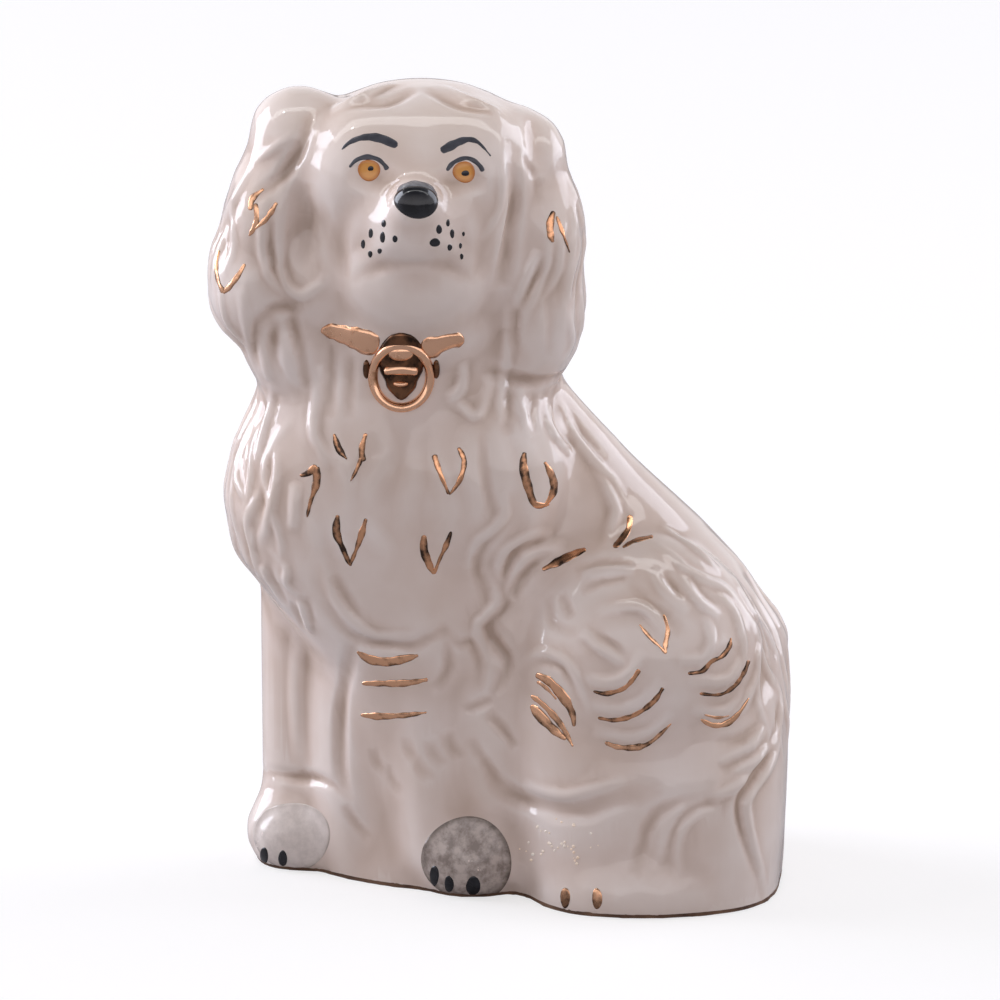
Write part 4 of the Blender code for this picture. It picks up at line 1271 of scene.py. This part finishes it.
def set_studio():
    middle = (0, 0, 0.07)
    bpy.ops.mesh.primitive_plane_add(size=6, location=(0, 0, 0))
    floor = bpy.context.object
    floor.name = "studio_floor"
    white, tree, shader = new_material("pale_floor", Roughness=0.9)
    shader.inputs["Base Color"].default_value = linear("a09ea0")
    shader.inputs["Emission Color"].default_value = linear("ffffff")
    seen = add_node(tree, "LightPath").outputs["Is Camera Ray"]
    glow = add_node(tree, "Math", {"operation": "MULTIPLY", 1: FLOOR_GLOW}, {0: seen})
    tree.links.new(glow.outputs[0], shader.inputs["Emission Strength"])
    floor.data.materials.append(white)

    world = bpy.data.worlds.new("studio")
    bpy.context.scene.world = world
    world.use_nodes = True
    tree = world.node_tree
    shade = tree.nodes["Background"]
    way = add_node(tree, "TexCoord").outputs["Generated"]
    split = add_node(tree, "SeparateXYZ", links={"Vector": way})
    depth = add_node(
        tree, "MapRange", {"From Min": -1.0, "From Max": 1.0, "To Min": 0.0, "To Max": 1.0},
        {"Value": split.outputs["Y"]},
    )
    round_about = ramp(tree, depth.outputs["Result"], [
        (0.0, linear("e8e4e8")), (0.35, linear("e0dce0")), (0.55, linear("d4d2d6")), (1.0, linear("d0ced2")),
    ])
    overhead = ramp(tree, split.outputs["Z"], [(0.2, linear("ffffff")), (0.75, linear("4e4c4c"))])
    mixed = add_node(
        tree, "Mix", {"data_type": "RGBA", "blend_type": "MULTIPLY", "Factor": 1.0},
        {6: round_about, 7: overhead},
    )
    tree.links.new(mixed.outputs[2], shade.inputs["Color"])
    shade.inputs["Strength"].default_value = ROOM_BRIGHTNESS

    light("overhead_box", (0, 0.03, 0.8), middle, (2.2, 0.18), 3.3)
    light("left_box", (-1.2, 0.5, 0.4), middle, (0.8, 1.1), 17.0, "ecf0ff")
    light("right_box", (1.1, 0.6, 0.4), middle, (0.8, 1.1), 7.5, "ecf0ff")
    light("small_lamp", (-0.5, -0.02, 0.95), middle, (0.06, 0.06), 0.5)

    camera = bpy.data.cameras.new("camera")
    camera.sensor_width = SENSOR
    camera.lens = LENS
    camera.clip_start = 0.1
    holder = bpy.data.objects.new("camera", camera)
    aim = Vector((0, 0, CAMERA_AIM))
    back = Vector((0, -FALL, RISE))
    holder.location = aim + back * CAMERA_DISTANCE
    holder.rotation_euler = back.to_track_quat("Z", "Y").to_euler()
    bpy.context.scene.collection.objects.link(holder)
    bpy.context.scene.camera = holder
    bpy.context.scene.view_settings.view_transform = "Standard"


def main():
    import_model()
    take_nothing()

    finishes = {
        "glaze": cream_glaze(),
        # The golds are one gilding in lighter and darker copies, which is painted light and shade: the chain
        # lightest, the locket's boss and lugs darkest.
        "gold": brushed_gold("brushed_gold_lustre", "ffc79e", "5b4536", 0.36),
        "gold_more_painted_shade": brushed_gold("gold_lustre_more_painted_shade", "f0b48a", "4a3c34", 0.44),
        "chain_gold": brushed_gold("chain_gold_lustre", "ffcba6", "b07a54", 0.28),
        # Near-white enamel for the specks: painted glint.
        "glint_white": enamel("painted_glint_specks", "ffe6cc", "fffaf2", 0.08),
        # Darkest gold, for the locket's boss and lugs: painted shade.
        "dark_gold": brushed_gold("shaded_gold_lustre", "8a6248", "3a2c24", 0.42),
        "black": enamel("black_enamel", "17181b", "2c2d32", 0.12),
        "slate": enamel("slate_enamel", "3a3b42", "50525a", 0.3),
        # Grey for the top of the nose: thinner enamel and a painted highlight.
        "grey_with_painted_highlight": enamel("grey_enamel_with_painted_highlight", "67686d", "98989c", 0.1),
        "amber": amber_enamel(),
        "wash": grey_wash("grey_paw_wash", "c2b5ad", "94887f", 0.7),
        "faint": grey_wash("faint_paw_wash", "e4d9d2", "d6cac2", 0.2),
        # Dark brown for the foot line: the bare clay, with painted shadow along the base.
        "foot": foot_shadow_clay(),
    }
    body = make_body()
    body.data.materials.append(finishes["glaze"])
    skin = BVHTree.FromObject(body, bpy.context.evaluated_depsgraph_get())
    layers = paint(skin, finishes) + hang_locket(skin, finishes)
    foot = foot_shadow_line(body, finishes["foot"])
    hollow_out(body)
    work(body, "DECIMATE", ratio=FACES_KEPT)
    store_hollow_depth(body)
    body.data.shade_smooth()
    body.data.set_sharp_from_angle(angle=SMOOTH_ANGLE)

    low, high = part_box("body_shell")
    spots = positions(body.data)
    middle = (spots.min(0) + spots.max(0)) / 2
    seat = Vector((
        (low.x + high.x) / 2 - middle[0], (low.y + high.y) / 2 - middle[1], low.z - spots.min(0)[2]
    ))
    pieces = [(body, "body_shell", "glaze"), (foot, None, None)] + layers
    for piece, stands_for, slot in pieces:
        piece.data.transform(Matrix.Translation(seat))
        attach(piece, "root")
        if stands_for:
            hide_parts(stands_for)

    set_studio()


main()
